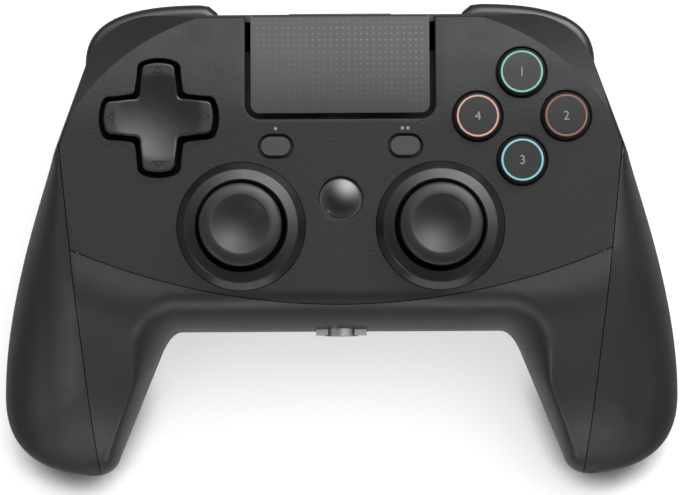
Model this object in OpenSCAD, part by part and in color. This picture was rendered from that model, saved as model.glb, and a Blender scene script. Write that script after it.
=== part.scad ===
// Wireless gamepad: two-stick controller with touchpad, cross pad, four face
// buttons, bumpers, analogue triggers and rumble motors, lying face up.
// +X is the player's right, +Y is the far side and Z is up from the table.

/* [Case] */
// Width across the grips
case_w = 161.2; // [156:0.2:166]
// Rear edge of the case, behind the middle of the pad
case_rear = 53.1; // [52.1:0.1:54]
// Front wall of the case, in front of the middle
case_front = 21.2; // [20.8:0.1:22]
// Reach of the grip tips in front of the middle
grip_reach = 55.5; // [54:0.1:58]
// Height of the flat face above the table
face_z = 40; // [39:0.1:41]
// Height of the flat belly above the table
belly_z = 14; // [12.5:0.1:14.4]
// Wall thickness of the mouldings
wall = 2; // [1.6:0.1:2.2]
// Radius of the rear corners, seen from above
corner_r = 18; // [15:0.5:20]
// Half width where the grip covers begin
side_x = 67.3; // [66.5:0.1:68]
// Distance of that point behind the middle
side_y = 21.8; // [20.8:0.1:22.4]
// Edge rounding of the face
edge_r = 1.8; // [1.5:0.1:3]
// Rounding of the front wall
front_r = 8.5; // [7.5:0.1:10]
// Rounding of the inner edges of the grips
grip_edge_r = 3; // [2.6:0.1:4]
// Slope of the grips below the face
grip_slope = 0.42; // [0.36:0.01:0.46]
// Gap at the seams between mouldings
seam = 0.2; // [0.1:0.05:0.3]
// Radius of the curved seam in front of the sticks
seam_r = 160; // [140:1:200]
// That seam's distance in front of the middle
seam_y = 15.4; // [15:0.1:16]
// Radius of the two humps under the case, ahead of the triggers
hump_r = 15; // [12:0.5:16]

/* [Sticks] */
// Distance of each stick from the middle line
stick_x = 23.2; // [22.8:0.1:24]
// Distance of the sticks behind the middle
stick_y = 2.7; // [2.5:0.1:3.2]
// Diameter of the thumb cap
cap_d = 19.2; // [17:0.1:19.8]
// Height of the cap's rim above the face
cap_rise = 9.5; // [9:0.1:11]
// Diameter of the cap's dish
dish_d = 13.2; // [11:0.1:14]
// Diameter of the raised ring round the stick
ring_d = 30; // [28.6:0.1:30.2]
// Height of the raised ring
ring_rise = 2.4; // [2:0.1:2.8]
// Diameter of the opening in the ring
ring_hole_d = 20.9; // [20.8:0.1:21.2]
// Width of the stick unit's square frame
stick_frame_w = 16.8; // [16.4:0.1:17]

/* [Buttons] */
// Distance of the button groups from the middle line
group_x = 42.3; // [42:0.1:42.8]
// Distance of the button groups behind the middle
group_y = 28.1; // [27.6:0.1:28.6]
// Distance of each face button from its group's middle
button_offset = 10.3; // [10.1:0.1:10.6]
// Diameter of a face button
button_d = 11.2; // [10.4:0.1:11.4]
// Height of the face buttons above the face
button_rise = 1.9; // [1.6:0.1:2.4]
// Outer diameter of the coloured ring
colour_ring_d = 9.9; // [9.4:0.1:10.2]
// Width of the coloured ring
colour_ring_w = 0.55; // [0.5:0.05:1]
// Gap round each button
button_gap = 0.3; // [0.2:0.05:0.4]
// Width across the cross pad
dpad_w = 25.5; // [24.5:0.1:26]
// Width of the cross pad's arms
dpad_arm = 7.6; // [7:0.1:8]
// Gap round the cross pad
dpad_gap = 1.15; // [1:0.05:1.3]
// Height of the cross pad's tips above the face
dpad_rise = 2.4; // [2:0.1:3]
// Distance of the small buttons from the middle line
menu_x = 15.1; // [14.8:0.1:15.6]
// Distance of the small buttons behind the middle
menu_y = 21.3; // [21:0.1:21.6]
// Length of a small button
menu_l = 6.8; // [6.2:0.1:7.2]
// Width of a small button
menu_w = 4.4; // [4:0.1:4.8]
// Diameter of the home button
home_d = 8.8; // [8:0.1:9.2]
// Distance of the home button behind the middle
home_y = 9.1; // [8.9:0.1:9.4]
// Key travel of the face buttons
button_travel = 1.4; // [1:0.1:1.5]
// Key travel of the home and small buttons
menu_travel = 0.8; // [0.5:0.1:0.9]

/* [Touchpad] */
// Width of the touchpad
pad_w = 41.7; // [40:0.1:42.2]
// Front edge of the touchpad, behind the middle
pad_front = 29.05; // [28.8:0.05:29.6]
// Gap beside the touchpad
pad_gap = 1.3; // [1:0.05:1.5]
// Thickness of the touchpad's plate
pad_t = 1.8; // [1.4:0.1:2]
// Height of the touchpad's surface above the face
pad_rise = 0.4; // [0.1:0.1:0.6]

/* [Shoulders] */
// Width of a trigger
trigger_w = 18.6; // [17:0.1:18.8]
// Distance of the trigger's inner side from the middle line
trigger_x = 35.4; // [35.2:0.1:36]
// Diameter of the trigger's hinge pin
trigger_pin_d = 2.4; // [2:0.1:2.6]
// Running clearance of pins in their bores
bore_gap = 0.05; // [0.03:0.01:0.08]
// Height of the bumper's upper face
bumper_z = 34; // [33.6:0.1:34.1]
// Height of the bumper
bumper_h = 7.5; // [6.6:0.1:7.6]
// Travel of the bumper
bumper_travel = 1.2; // [0.8:0.1:1.4]
// Gap round the bumper
bumper_gap = 0.3; // [0.2:0.05:0.4]

/* [Inside] */
// Top of the main board
board_z = 22.6; // [22.4:0.1:22.8]
// Thickness of the main board
board_t = 1.6; // [1:0.1:1.6]
// Top of the frame that carries the key membranes
shelf_z = 29.6; // [29.4:0.1:29.8]
// Thickness of that frame
shelf_t = 1.6; // [1.2:0.1:1.8]
// Diameter of a rumble motor
motor_d = 13; // [11:0.1:13.4]
// Length of a rumble motor
motor_l = 10.5; // [9:0.1:10.8]
// Diameter of the screws
screw_d = 2; // [1.6:0.1:2.2]
// Diameter of the headset socket's bore
jack_d = 3.5; // [3.4:0.05:3.6]
// Depth of that bore
jack_l = 14; // [13:0.1:14]

/* [Hidden] */
$fn = 64;

// Seam plane between upper and lower mouldings: its height at the middle and its slope
belt_z = 18.3;
belt_slope = 0.168;
belt_tilt = atan(belt_slope);
// Grip outline: widest point, tip, inner edge and front fillet
grip_x = case_w/2;
grip_wide_y = -37;
tip = [60, -grip_reach];
tip_in = [53.2, 4.5 - grip_reach];
grip_in = [42.8, -4.8 - case_front];
fillet_in = [40.6, -case_front];
front_end = [38, -case_front];
// Seam line along the crest of each grip
crest_slope = 0.1027;
crest_in = 1.5;
// Rear end of the grip covers
cover_y = side_y - 0.06;
// Bevel of the rear corners: part of a cone
bevel_x = 17.7;
bevel_r = 53.7;
bevel_slope = 0.53;
// Stations along half of the case and points round each station
n_mid = 2;
n_corner = 8;
n_side = 2;
n_turn = 4;
n_grip = 10;
n_tip = 8;
n_round = 6;
// Least rounding of the hollow's edges
least_round = 0.5;
// Height of the plate's underside, where the key flanges sit
under_z = face_z - wall;
flange_gap = 0.3;
flange_t = 1.5;
flange_rim = 1;
// Sticks: height of the pivot and of the frame's top
pivot_z = board_z + 4.9;
stick_frame_h = 7.3;
stick_frame_z = board_z + stick_frame_h;
stick_wall = 1.2;
journal_r = 1.2;
lever_r = 1.6;
lever_pin_r = 0.8;
arch_r = 5.4;
arch_t = 1.4;
arch_w = 6.4;
skirt_r = 13;
skirt_t = 1;
skirt_spread = 53;
spigot_r = 12.4;
spigot_drop = 2;
ring_seat = 1;
ring_skirt = 1.5;
// Trigger hinge
trigger_y = 42;
trigger_z = 22.6;
web_t = 1.6;
ear_t = 1.4;
side_gap = 0.2;
// Screws: places of the rear, front and grip pairs, on the right-hand side
screw_at = [[28, 40], [36, -8], [55.2, 10.5 - grip_reach]];
screw_seat = [17, 15.9, 6];
screw_l = [12, 12, 9];
boss_r = 2.8;
screw_head_r = 1.9;
screw_head_t = 1.6;
post_at = [40, 1];
// Rumble motors
motor_x = 51.5;
motor_y = 22.5 - grip_reach;
motor_z = 14.5;
motor_shaft_r = 1;
// Headset socket
jack_z = 19.4;
jack_flange_r = 4;
jack_stand = 1.2;
jack_flange_t = 4.6;
// Touchpad hinge
hinge_y = 46.5;
hinge_z = 36.4;
hinge_r = 1;

charcoal = "#3a3a3c";
dark = "#2b2b2d";
black = "#1b1b1c";

function mix(a, b, t) = a + (b - a)*t;
function ease(t) = let (q = min(1, max(0, t))) q*q*(3 - 2*q);
function bend(a, b, c, t) = mix(mix(a, b, t), mix(b, c, t), t);
function bend4(a, b, c, d, t) = mix(bend(a, b, c, t), bend(b, c, d, t), t);
function to_line(p, a, b) =
  let (ab = b - a, t = min(1, max(0, (p - a)*ab/(ab*ab)))) norm(p - a - ab*t);
function to_path(p, path) =
  min([for (i = [0:len(path) - 2]) to_line(p, path[i], path[i + 1])]);
function rise(d, r) = let (q = 1 - min(1, max(0, d/r))) sqrt(1 - q*q);

// Corner of a path, rounded: the points of its arc
function round_corner(a, b, c, r, n) =
  let (
    u = (a - b)/norm(a - b),
    v = (c - b)/norm(c - b),
    half = acos(u*v)/2,
    m = (u + v)/norm(u + v),
    centre = b + m*r/sin(half),
    p = b + u*r/tan(half) - centre,
    turn = (180 - 2*half)*sign(u.x*v.y - u.y*v.x)
  )
  [for (i = [0:n]) let (w = -turn*i/n)
    centre + [p.x*cos(w) - p.y*sin(w), p.x*sin(w) + p.y*cos(w)]];
function rounded(path, r, n = 6) =
  let (m = len(path))
  [for (i = [0:m - 1])
    let (s = is_list(r) ? r[i] : r)
    each s == 0 ? [path[i]]
      : round_corner(path[(i + m - 1)%m], path[i], path[(i + 1)%m], s, n)];

// Outline of the right half: the outer edge from the rear middle to the grip's
// tip and the inner edge from the front middle to the same tip, in equal steps.
side_dir = [-0.347, 0.938];
rear_vertex = [side_x + side_dir.x/side_dir.y*(case_rear - side_y), case_rear];
corner_arc = round_corner([0, case_rear], rear_vertex, [side_x, side_y], corner_r, n_corner);
grip_wide = [grip_x, grip_wide_y];
flank_mid = [grip_x, side_y - (grip_x - side_x)*2.72];
outer_edge = concat(
  [for (i = [0:n_mid - 1]) mix([0, case_rear], corner_arc[0], i/n_mid)],
  [for (i = [0:n_corner - 1]) corner_arc[i]],
  [for (i = [0:n_side - 1]) mix(corner_arc[n_corner], [side_x, side_y], i/n_side)],
  [for (i = [0:n_turn - 1]) bend([side_x, side_y], flank_mid, grip_wide, 0.36*i/n_turn)],
  [for (i = [0:n_grip - 1]) bend([side_x, side_y], flank_mid, grip_wide, 0.36 + 0.64*i/n_grip)],
  [for (i = [0:n_tip]) bend(grip_wide, [grip_x, 1.5 + tip.y], tip, sin(90*i/n_tip))]
);
n_bend = n_corner + n_side + n_turn;
inner_edge = concat(
  [for (i = [0:n_mid - 1]) mix([0, -case_front], front_end, i/n_mid)],
  [for (i = [0:n_bend - 1]) bend(front_end, fillet_in, grip_in, i/n_bend)],
  [for (i = [0:n_grip - 1]) mix(grip_in, tip_in, i/n_grip)],
  [for (i = [0:n_tip]) bend(tip_in, [54.5, tip.y], tip, sin(90*i/n_tip))]
);
n_all = len(outer_edge) - 1;

function seam_line(x) = seam_r - seam_y - sqrt(seam_r*seam_r - x*x);
function crest_x(y) = side_x - crest_in - (side_y - y)*crest_slope;
function belt(y) = belt_z + belt_slope*y;

// Heights of the crown above and the keel below the belt, before the edge rounding
function droop(v) = v <= 0 ? 0 : v < 16 ? grip_slope*v*v/32 : grip_slope*(v - 8);
function crown(x, y) =
  face_z - droop(seam_line(min(x, 70)) + 1 - y)
  - 0.14*max(0, crest_x(y) - x)*ease((-12 - y)/20)*ease((x - 34)/10);
function keel(x, y) = belly_z*(1 - ease((-6 - y)/30)*ease((x - 32)/14));
function outer_round(y) =
  let (q = min(1, max(0, (side_y - y)/(side_y - grip_wide_y))))
  max(edge_r, 1 + (grip_x - crest_x(grip_wide_y) - 1)*(1 - pow(1 - q, 1.6)));
function inner_round(y) = mix(front_r, grip_edge_r, ease((-case_front - y)/15));
function outer_under(y) = 11 + 4*ease((side_y - y)/40);
function inner_under(y) = 5 + 8*ease((-case_front - y)/15);

// One section of the case, drawn in by inset: a closed loop of points
function tangent(path, k) =
  let (t = path[min(len(path) - 1, k + 1)] - path[max(0, k - 1)]) t/norm(t);
function steps(l, ri, ro, n) =
  let (a = min(ri, 0.48*l)/l, b = min(ro, 0.48*l)/l)
  concat(
    [for (j = [0:n]) a*(1 - cos(90*j/n))],
    [for (j = [1:2]) mix(a, 1 - b, j/3)],
    [for (j = [n:-1:0]) 1 - b*(1 - cos(90*j/n))]
  );
function section(k, inset) =
  let (
    ti = tangent(inner_edge, k),
    to = tangent(outer_edge, k),
    a = inner_edge[k] + inset*[-ti.y, ti.x],
    b = outer_edge[k] + inset*[to.y, -to.x],
    l = norm(b - a),
    n = inset > 0 ? n_round/2 : n_round,
    over = steps(l, inner_round(a.y), outer_round(b.y), n),
    under = steps(l, inner_under(a.y), outer_under(b.y), n),
    m = len(over)
  )
  concat(
    [for (j = [0:m - 1]) let (p = mix(a, b, over[j])) [p.x, p.y, top_of(p, inset)]],
    [for (j = [m - 2:-1:1]) let (p = mix(a, b, under[j])) [p.x, p.y, under_of(p, inset)]]
  );
function top_of(p, inset) =
  belt(p.y) + (crown(p.x, p.y) - inset - belt(p.y))
    *rise(to_path(p, inner_edge) - inset, max(least_round, inner_round(p.y) - inset))
    *rise(to_path(p, outer_edge) - inset, max(least_round, outer_round(p.y) - inset));
function under_of(p, inset) =
  belt(p.y) - (belt(p.y) - keel(p.x, p.y) - inset)
    *rise(to_path(p, inner_edge) - inset, inner_under(p.y) - inset)
    *rise(to_path(p, outer_edge) - inset, outer_under(p.y) - inset);

// The whole outside of the case, or its hollow when it is drawn in by the wall
module case_loft(inset) {
  half = [for (k = inset > 0 ? [0:2:n_all - 4] : [0:n_all - 1]) section(k, inset)];
  last = len(half) - 1;
  m = len(half[0]);
  end_mid = (half[last][0] + half[last][m/2])/2;
  end_xy = inset > 0 ? [end_mid.x, end_mid.y - 1] : tip;
  points = concat(
    [for (k = [-last:last]) each [for (p = half[abs(k)]) [k < 0 ? -p.x : p.x, p.y, p.z]]],
    [[-end_xy.x, end_xy.y, belt(end_xy.y)], [end_xy.x, end_xy.y, belt(end_xy.y)]]
  );
  rows = 2*last;
  count = m*(rows + 1);
  polyhedron(points, concat(
    [for (k = [0:rows - 1], j = [0:m - 1])
      let (p = k*m + j, q = k*m + (j + 1)%m)
      each [[p, q, q + m], [p, q + m, p + m]]],
    [for (j = [0:m - 1]) [count, (j + 1)%m, j]],
    [for (j = [0:m - 1]) [count + 1, rows*m + j, rows*m + (j + 1)%m]]
  ), 4);
}

module both_sides() {
  children();
  mirror([1, 0, 0]) children();
}

module corner_bevel() {
  both_sides() translate([bevel_x, 0, face_z]) rotate(20) rotate_extrude(angle = 75, $fn = 120)
    polygon([[bevel_r, 0], [bevel_r + 20, -20*bevel_slope], [bevel_r + 20, 10], [bevel_r, 10]]);
}

// Humps that the case rests on at the rear, in front of the triggers
hump_at = [42, 25];
hump_flat = 6;
module hump(inset) {
  r = hump_r - inset;
  f = hump_flat - inset;
  n = inset > 0 ? 4 : 7;
  both_sides() translate([hump_at.x, hump_at.y, 0]) rotate_extrude($fn = inset > 0 ? 20 : 36) polygon(concat(
    [[0, belly_z + 4], [0, inset]],
    [for (i = [0:n]) [mix(f, r, i/n), inset + belly_z*ease(i/n)]],
    [[r, belly_z + 4]]
  ));
}

module case_solid(inset) {
  difference() {
    union() {
      case_loft(inset);
      hump(inset);
    }
    translate([0, 0, -inset]) corner_bevel();
  }
}

module case_wall() {
  difference() {
    case_solid(0);
    case_solid(wall);
  }
}

// Space above or below the belt, as far as gap from it
module belt_side(above, gap) {
  translate([0, 0, belt_z]) rotate([belt_tilt, 0, 0])
    translate([-100, -100, above ? gap : -80 - gap]) cube([200, 200, 80]);
}

// Plan of the face plate, of the covers and of the bumper's bay, as tall prisms
module tall() {
  translate([0, 0, -5]) linear_extrude(80) children();
}
module face_plan() {
  xs = [for (i = [-24:24]) (crest_x(-4) + 1)*i/24];
  difference() {
    polygon(concat([for (x = xs) [x, seam_line(x)]], [[100, 6], [100, 80], [-100, 80], [-100, 6]]));
    both_sides() cover_plan(seam);
  }
}
module cover_plan(grow) {
  polygon([
    [crest_x(side_y) - grow, cover_y + grow], [110, cover_y + grow],
    [110, -80], [crest_x(-80) - grow, -80]
  ]);
}
module front_plan() {
  xs = [for (i = [-24:24]) 90*i/24];
  difference() {
    polygon(concat([for (x = xs) [x, seam_line(x) - seam]], [[90, -80], [-90, -80]]));
    both_sides() cover_plan(seam);
  }
}

// A moulding's walls, taken as one closed skin
module skin() {
  resize([0, 0, 0]) children();
}

module boss(i, from, to) {
  translate([screw_at[i].x, screw_at[i].y, from]) cylinder(h = to - from, r = boss_r, $fn = 24);
}
// Room over the floor, which belongs to the lower moulding alone
module floor_room() {
  translate([-33, wall - case_front + 0.05, 0]) cube([66, 30, belly_z + wall + 0.1]);
}
module screw_hole(i, grow) {
  translate([screw_at[i].x, screw_at[i].y, screw_seat[i]])
    cylinder(h = screw_l[i] + 0.5, r = screw_d/2 + grow, $fn = 24);
}

// Upper mouldings
module plate_openings() {
  pad_hole = pad_w/2 + pad_gap;
  translate([0, 0, hinge_z]) linear_extrude(20) polygon(rounded(
    [[-pad_hole, pad_front - pad_gap], [pad_hole, pad_front - pad_gap], [pad_hole, 80], [-pad_hole, 80]],
    [3.3, 3.3, 0, 0], 8));
  translate([0, 0, under_z - 5]) linear_extrude(20) {
    translate([-group_x, group_y]) cross_plan(dpad_gap, 1.6);
    for (s = face_spots) translate(s) circle(d = button_d + 2*button_gap, $fn = 48);
    both_sides() translate([menu_x, menu_y]) pill_plan(4*button_gap, $fn = 32);
    translate([0, home_y]) circle(d = home_d + 4*button_gap, $fn = 48);
    both_sides() translate([stick_x, stick_y]) circle(spigot_r + 0.1, $fn = 64);
  }
  both_sides() translate([stick_x, stick_y, face_z - ring_seat]) cylinder(h = 5, r = ring_d/2 + 0.1, $fn = 96);
  for (s = face_spots) translate([s.x, s.y, under_z - 5])
    cylinder(h = 5, r = button_d/2 + flange_rim + 0.3, $fn = 48);
  translate([-lens_w/2 - seam, 40, lens_z - seam]) cube([lens_w + 2*seam, 20, lens_h + 2*seam]);
}
module face_plate() {
  color(charcoal) skin() difference() {
    intersection() {
      union() {
        case_wall();
        intersection() {
          case_solid(0.5);
          both_sides() for (i = [0, 1]) boss(i, 0, face_z);
        }
      }
      belt_side(true, seam/2);
      tall() face_plan();
    }
    plate_openings();
    floor_room();
    both_sides() bumper_bay();
    both_sides() for (i = [0, 1]) screw_hole(i, 0.02);
  }
}
module front_shell() {
  color(dark) skin() difference() {
    intersection() {
      union() {
        case_wall();
        intersection() {
          case_solid(0.5);
          both_sides() boss(2, 0, face_z);
        }
      }
      belt_side(true, seam/2);
      tall() front_plan();
    }
    both_sides() screw_hole(2, 0.02);
    jack_room(seam);
    floor_room();
  }
}
module grip_cover() {
  color(dark) skin() intersection() {
    case_wall();
    tall() cover_plan(0);
  }
}

// Lower moulding with the trigger bays, board posts, screw bosses and motor cradles
bay_x = [trigger_x - ear_t - 2*side_gap, trigger_x + trigger_w + ear_t + 2*side_gap];
bay_y = trigger_y - 3.6;
bay_z = bumper_z - bumper_h - 0.5;
bay_wall = 1.5;
module bay_box(grow) {
  translate([bay_x[0] - grow, bay_y - grow, -10])
    cube([bay_x[1] - bay_x[0] + 2*grow, 40, 10 + (grow > 0 ? board_z - board_t - 0.2 : bay_z)]);
}
module rear_shell() {
  color(dark) skin() difference() {
    intersection() {
      union() {
        case_wall();
        intersection() {
          case_solid(0.5);
          both_sides() {
            bay_box(bay_wall);
            for (i = [0:2]) boss(i, -5, 60);
            translate([post_at.x, post_at.y, 0]) cylinder(h = board_z - board_t, r = 2.4, $fn = 24);
            translate([motor_x + 1.5, motor_y - 5, 0]) cube([motor_l - 4, 10, motor_z - 3]);
          }
        }
      }
      belt_side(false, seam/2);
      difference() {
        translate([-100, -100, -5]) cube([200, 200, 80]);
        both_sides() tall() cover_plan(seam);
      }
    }
    both_sides() {
      bay_box(0);
      bumper_bay();
      for (i = [0:2]) {
        screw_hole(i, 0.3);
        translate([screw_at[i].x, screw_at[i].y, -10])
          cylinder(h = screw_seat[i] + 10, r = screw_head_r + 0.3, $fn = 24);
      }
      translate([motor_x - 1, motor_y, motor_z]) rotate([0, 90, 0])
        cylinder(h = 40, d = motor_d + 0.2, $fn = 32);
    }
    translate([-usb_w/2 - seam, 40, board_z - seam]) cube([usb_w + 2*seam, 20, usb_h + 2*seam]);
  }
}

module case_screws() {
  color("#8a8a8e") both_sides() for (i = [0:2])
    translate([screw_at[i].x, screw_at[i].y, screw_seat[i]]) {
      difference() {
        translate([0, 0, -screw_head_t]) cylinder(h = screw_head_t, r = screw_head_r);
        for (a = [0, 90]) rotate(a) translate([-1.2, -0.25, -screw_head_t - 1]) cube([2.4, 0.5, 1.7]);
      }
      cylinder(h = screw_l[i], d = screw_d);
    }
}

// Touchpad: a plate with a hinge rod below its rear part, and a sensing board under it
pad_top = face_z + pad_rise;
pad_rear = case_rear - 0.9;
module touchpad() {
  color("#56534f") {
    translate([0, 0, pad_top - pad_t]) linear_extrude(pad_t) polygon(rounded(
      [[-pad_w/2, pad_front], [pad_w/2, pad_front], [pad_w/2, pad_rear], [-pad_w/2, pad_rear]],
      [2, 2, 0.8, 0.8]));
    translate([-pad_w/2 + 1, pad_rear - 1.4, hinge_z + 0.6]) cube([pad_w - 2, 1.3, pad_top - pad_t - hinge_z]);
    translate([-pad_w/2 + 1.8, hinge_y, hinge_z]) rotate([0, 90, 0]) cylinder(h = pad_w - 3.6, r = hinge_r);
    for (x = [-10, 0, 10]) translate([x - 3, hinge_y - 0.7, hinge_z])
      cube([6, 1.4, pad_top - pad_t - hinge_z + 0.2]);
  }
}
module touchpad_board() {
  color("#1f5a3a") translate([-pad_w/2 + 2, pad_front + 1.2, pad_top - pad_t - 1.2])
    cube([pad_w - 4, hinge_y - pad_front - 4, 1.2]);
}
switch_y = pad_front + 4;
module touchpad_switch() {
  color("#c9c9c9") translate([-3, switch_y - 3, shelf_z + 3.8]) cube([6, 6, 2.6]);
  color(black) translate([0, switch_y, shelf_z + 6.2]) cylinder(h = pad_top - pad_t - 1.7 - shelf_z - 6.2, d = 3.2);
}

// Cross pad on its rocker, and the rubber membrane below
rock_z = shelf_z + 2.2;
knuckle_z = rock_z + 2.2;
knuckle_r = 1.6;
module cross_plan(grow, r) {
  a = dpad_arm/2 + grow;
  w = dpad_w/2 + grow;
  polygon(rounded([
    [a, a], [a, w], [-a, w], [-a, a], [-w, a], [-w, -a],
    [-a, -a], [-a, -w], [a, -w], [a, -a], [w, -a], [w, a]
  ], [1.2, r, r, 1.2, r, r, 1.2, r, r, 1.2, r, r], 5));
}
dish_r = 9.7;
dish_depth = 1.5;
dish_sphere = (dish_r*dish_r + dish_depth*dish_depth)/(2*dish_depth);
module dpad() {
  top = face_z + dpad_rise;
  color(dark) translate([-group_x, group_y, 0]) difference() {
    union() {
      difference() {
        union() {
          translate([0, 0, under_z - 5.4]) linear_extrude(top - under_z + 5.4) cross_plan(0, 1.1);
          translate([0, 0, under_z - 3.6]) linear_extrude(flange_t) cross_plan(dpad_gap + flange_rim, 1);
        }
        translate([0, 0, top - dish_depth + dish_sphere]) sphere(dish_sphere, $fn = 128);
        translate([-7, -7, under_z - 6]) cube([14, 14, knuckle_z - under_z + 6 + 0.2]);
      }
      translate([-2.9, -3.2, knuckle_z - 0.4]) cube([5.8, 6.4, 3]);
    }
    translate([0, 3.6, knuckle_z]) rotate([90, 0, 0]) cylinder(h = 7.2, r = knuckle_r + bore_gap);
  }
}
module dpad_rocker() {
  color("#d8d8d8") translate([-group_x, group_y, 0]) {
    translate([-3.9, -2.6, rock_z - 0.9]) cube([7.8, 5.2, 1.8]);
    translate([-0.9, -3, rock_z]) cube([1.8, 6, knuckle_z - rock_z]);
    translate([0, 3, knuckle_z]) rotate([90, 0, 0]) cylinder(h = 6, r = knuckle_r);
    translate([-6.2, 0, rock_z]) rotate([0, 90, 0]) cylinder(h = 12.4, r = 1);
  }
}
module dpad_membrane() {
  color("#9a9a98") translate([-group_x, group_y, shelf_z]) difference() {
    union() {
      cylinder(h = membrane_t, r = 13.8);
      for (a = [0:90:270]) rotate(a) translate([10, 0, 0]) cylinder(h = 2.7, r1 = 2.7, r2 = 2.1);
    }
    translate([0, 0, -1]) cylinder(h = 5, r = 7.1);
  }
}

// Face buttons with their coloured rings, and the rubber membrane below
face_spots = [for (a = [90, 0, 270, 180]) [group_x, group_y] + button_offset*[cos(a), sin(a)]];
membrane_t = 0.8;
dome_squashed = 1.7;
button_low = shelf_z + membrane_t + dome_squashed + button_travel;
button_top = face_z + button_rise;
ring_depth = 0.6;
module face_button(i) {
  ro = colour_ring_d/2;
  ri = ro - colour_ring_w;
  r = button_d/2;
  color(dark) translate([face_spots[i].x, face_spots[i].y, 0]) rotate_extrude() polygon([
    [0, button_low], [r, button_low], [r, under_z - flange_gap - flange_t],
    [r + flange_rim, under_z - flange_gap - flange_t], [r + flange_rim, under_z - flange_gap],
    [r, under_z - flange_gap], [r, button_top - 0.4], [ro, button_top],
    [ro, button_top - ring_depth], [ri, button_top - ring_depth], [ri, button_top],
    [0, button_top]
  ]);
}
module face_ring(i, tint) {
  ro = colour_ring_d/2;
  color(tint) translate([face_spots[i].x, face_spots[i].y, button_top - ring_depth]) difference() {
    cylinder(h = ring_depth, r = ro);
    translate([0, 0, -1]) cylinder(h = 3, r = ro - colour_ring_w);
  }
}
module face_membrane() {
  color("#9a9a98") {
    translate([group_x, group_y, shelf_z]) cylinder(h = membrane_t, r = button_offset + 3.7);
    for (s = face_spots) translate([s.x, s.y, shelf_z])
      cylinder(h = button_low - shelf_z - 0.2, r1 = 3.2, r2 = 2.4);
  }
}

// Home button, the two small buttons and their switches
module home_button() {
  r = home_d/2;
  rim = face_z + 0.4;
  crown_h = 0.9;
  ball = (r*r + crown_h*crown_h)/(2*crown_h);
  color(black) translate([0, home_y, 0]) rotate_extrude() polygon(concat(
    [[0, under_z - 4.2], [2.4, under_z - 4.2], [2.4, under_z - flange_gap - flange_t],
     [r + 1.2, under_z - flange_gap - flange_t], [r + 1.2, under_z - flange_gap],
     [r, under_z - flange_gap]],
    [for (i = [0:12]) let (x = r*(1 - i/12)) [x, rim + crown_h - ball + sqrt(ball*ball - x*x)]]
  ));
}
module pill_plan(grow) {
  w = menu_w + grow;
  l = menu_l + grow;
  square([l - w, w], center = true);
  for (s = [-1, 1]) translate([s*(l - w)/2, 0]) circle(d = w);
}
module menu_button() {
  color(charcoal) translate([menu_x, menu_y, 0]) {
    translate([0, 0, under_z - flange_gap - 0.1]) linear_extrude(face_z + 0.8 - under_z + flange_gap + 0.1) pill_plan(0);
    translate([0, 0, under_z - flange_gap - flange_t]) linear_extrude(flange_t) pill_plan(2.4);
    translate([0, 0, under_z - 4.2]) cylinder(h = 3, r = 1.6);
  }
}
switch_spots = [[menu_x, menu_y], [-menu_x, menu_y], [0, home_y]];
switch_h = under_z - 4.2 - menu_travel - 0.2 - shelf_z;
module menu_switches() {
  for (s = switch_spots) translate([s.x, s.y, shelf_z]) {
    color("#c9c9c9") translate([-3, -3, 0]) cube([6, 6, switch_h - 0.8]);
    color(black) cylinder(h = switch_h, d = 3);
  }
}

// Frame that carries the membranes and switches, on legs that stand on the main board
module mid_frame() {
  lug = hinge_r + 1;
  color("#4a4a4c") difference() {
    union() {
      translate([0, 0, shelf_z - shelf_t]) linear_extrude(shelf_t) {
        translate([-40, 14.5]) square([80, 30]);
        translate([-8, 3]) square([16, 12]);
        both_sides() translate([group_x, group_y]) circle(14.4);
      }
      both_sides() {
        for (p = [[38.5, 17], [12, 42], [6, 5]])
          translate([p.x, p.y, board_z]) cylinder(h = shelf_z - board_z - 0.5, r = 1.9);
        translate([14, hinge_y - lug, shelf_z - shelf_t]) cube([3, 2*lug, hinge_z - shelf_z + shelf_t]);
        translate([14, hinge_y, hinge_z]) rotate([0, 90, 0]) cylinder(h = 3, r = lug - 0.3);
      }
      translate([-5, switch_y - 5, shelf_z - 0.5]) cube([10, 10, 4.3]);
      for (s = [-1, 1]) translate([-group_x + s*5.4 - 0.9, group_y - 1.8, shelf_z - 0.5])
        cube([1.8, 3.6, rock_z - shelf_z + 1.8]);
    }
    both_sides() {
      translate([13, hinge_y, hinge_z]) rotate([0, 90, 0]) cylinder(h = 5, r = hinge_r + bore_gap);
      translate([screw_at[0].x, screw_at[0].y, 20]) cylinder(h = 20, r = boss_r + 0.4);
    }
    translate([-group_x - 7, group_y, rock_z]) rotate([0, 90, 0]) cylinder(h = 14, r = 1 + bore_gap);
  }
}

// Stick unit: frame, two crossed yokes, lever, cap, sensors and the ring on the face
module stick_cap() {
  top = face_z + cap_rise - pivot_z;
  r = cap_d/2;
  rd = dish_d/2;
  depth = 1.5;
  ball = (rd*rd + depth*depth)/(2*depth);
  rim_drop = 1.1;
  color(black) difference() {
    union() {
      rotate_extrude(convexity = 6) polygon(concat(
        [for (i = [0:10]) let (x = rd*i/10) [x, top - depth + ball - sqrt(ball*ball - x*x)]],
        [for (i = [1:10]) let (a = 9*i) [rd + (r - rd)*sin(a), top - rim_drop*(1 - cos(a))]],
        [[r, top - 2.6], [r - 0.6, top - 3.2], [4.4, top - 3.6], [3.7, top - 5], [3.7, skirt_r - 2], [0, skirt_r - 2]]
      ));
      intersection() {
        difference() {
          sphere(skirt_r, $fn = 96);
          sphere(skirt_r - skirt_t, $fn = 96);
        }
        cylinder(h = 20, r1 = 0, r2 = 20*tan(skirt_spread), $fn = 96);
      }
    }
    translate([0, 0, 5]) cylinder(h = 10.6, r = lever_r + bore_gap);
  }
}
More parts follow.
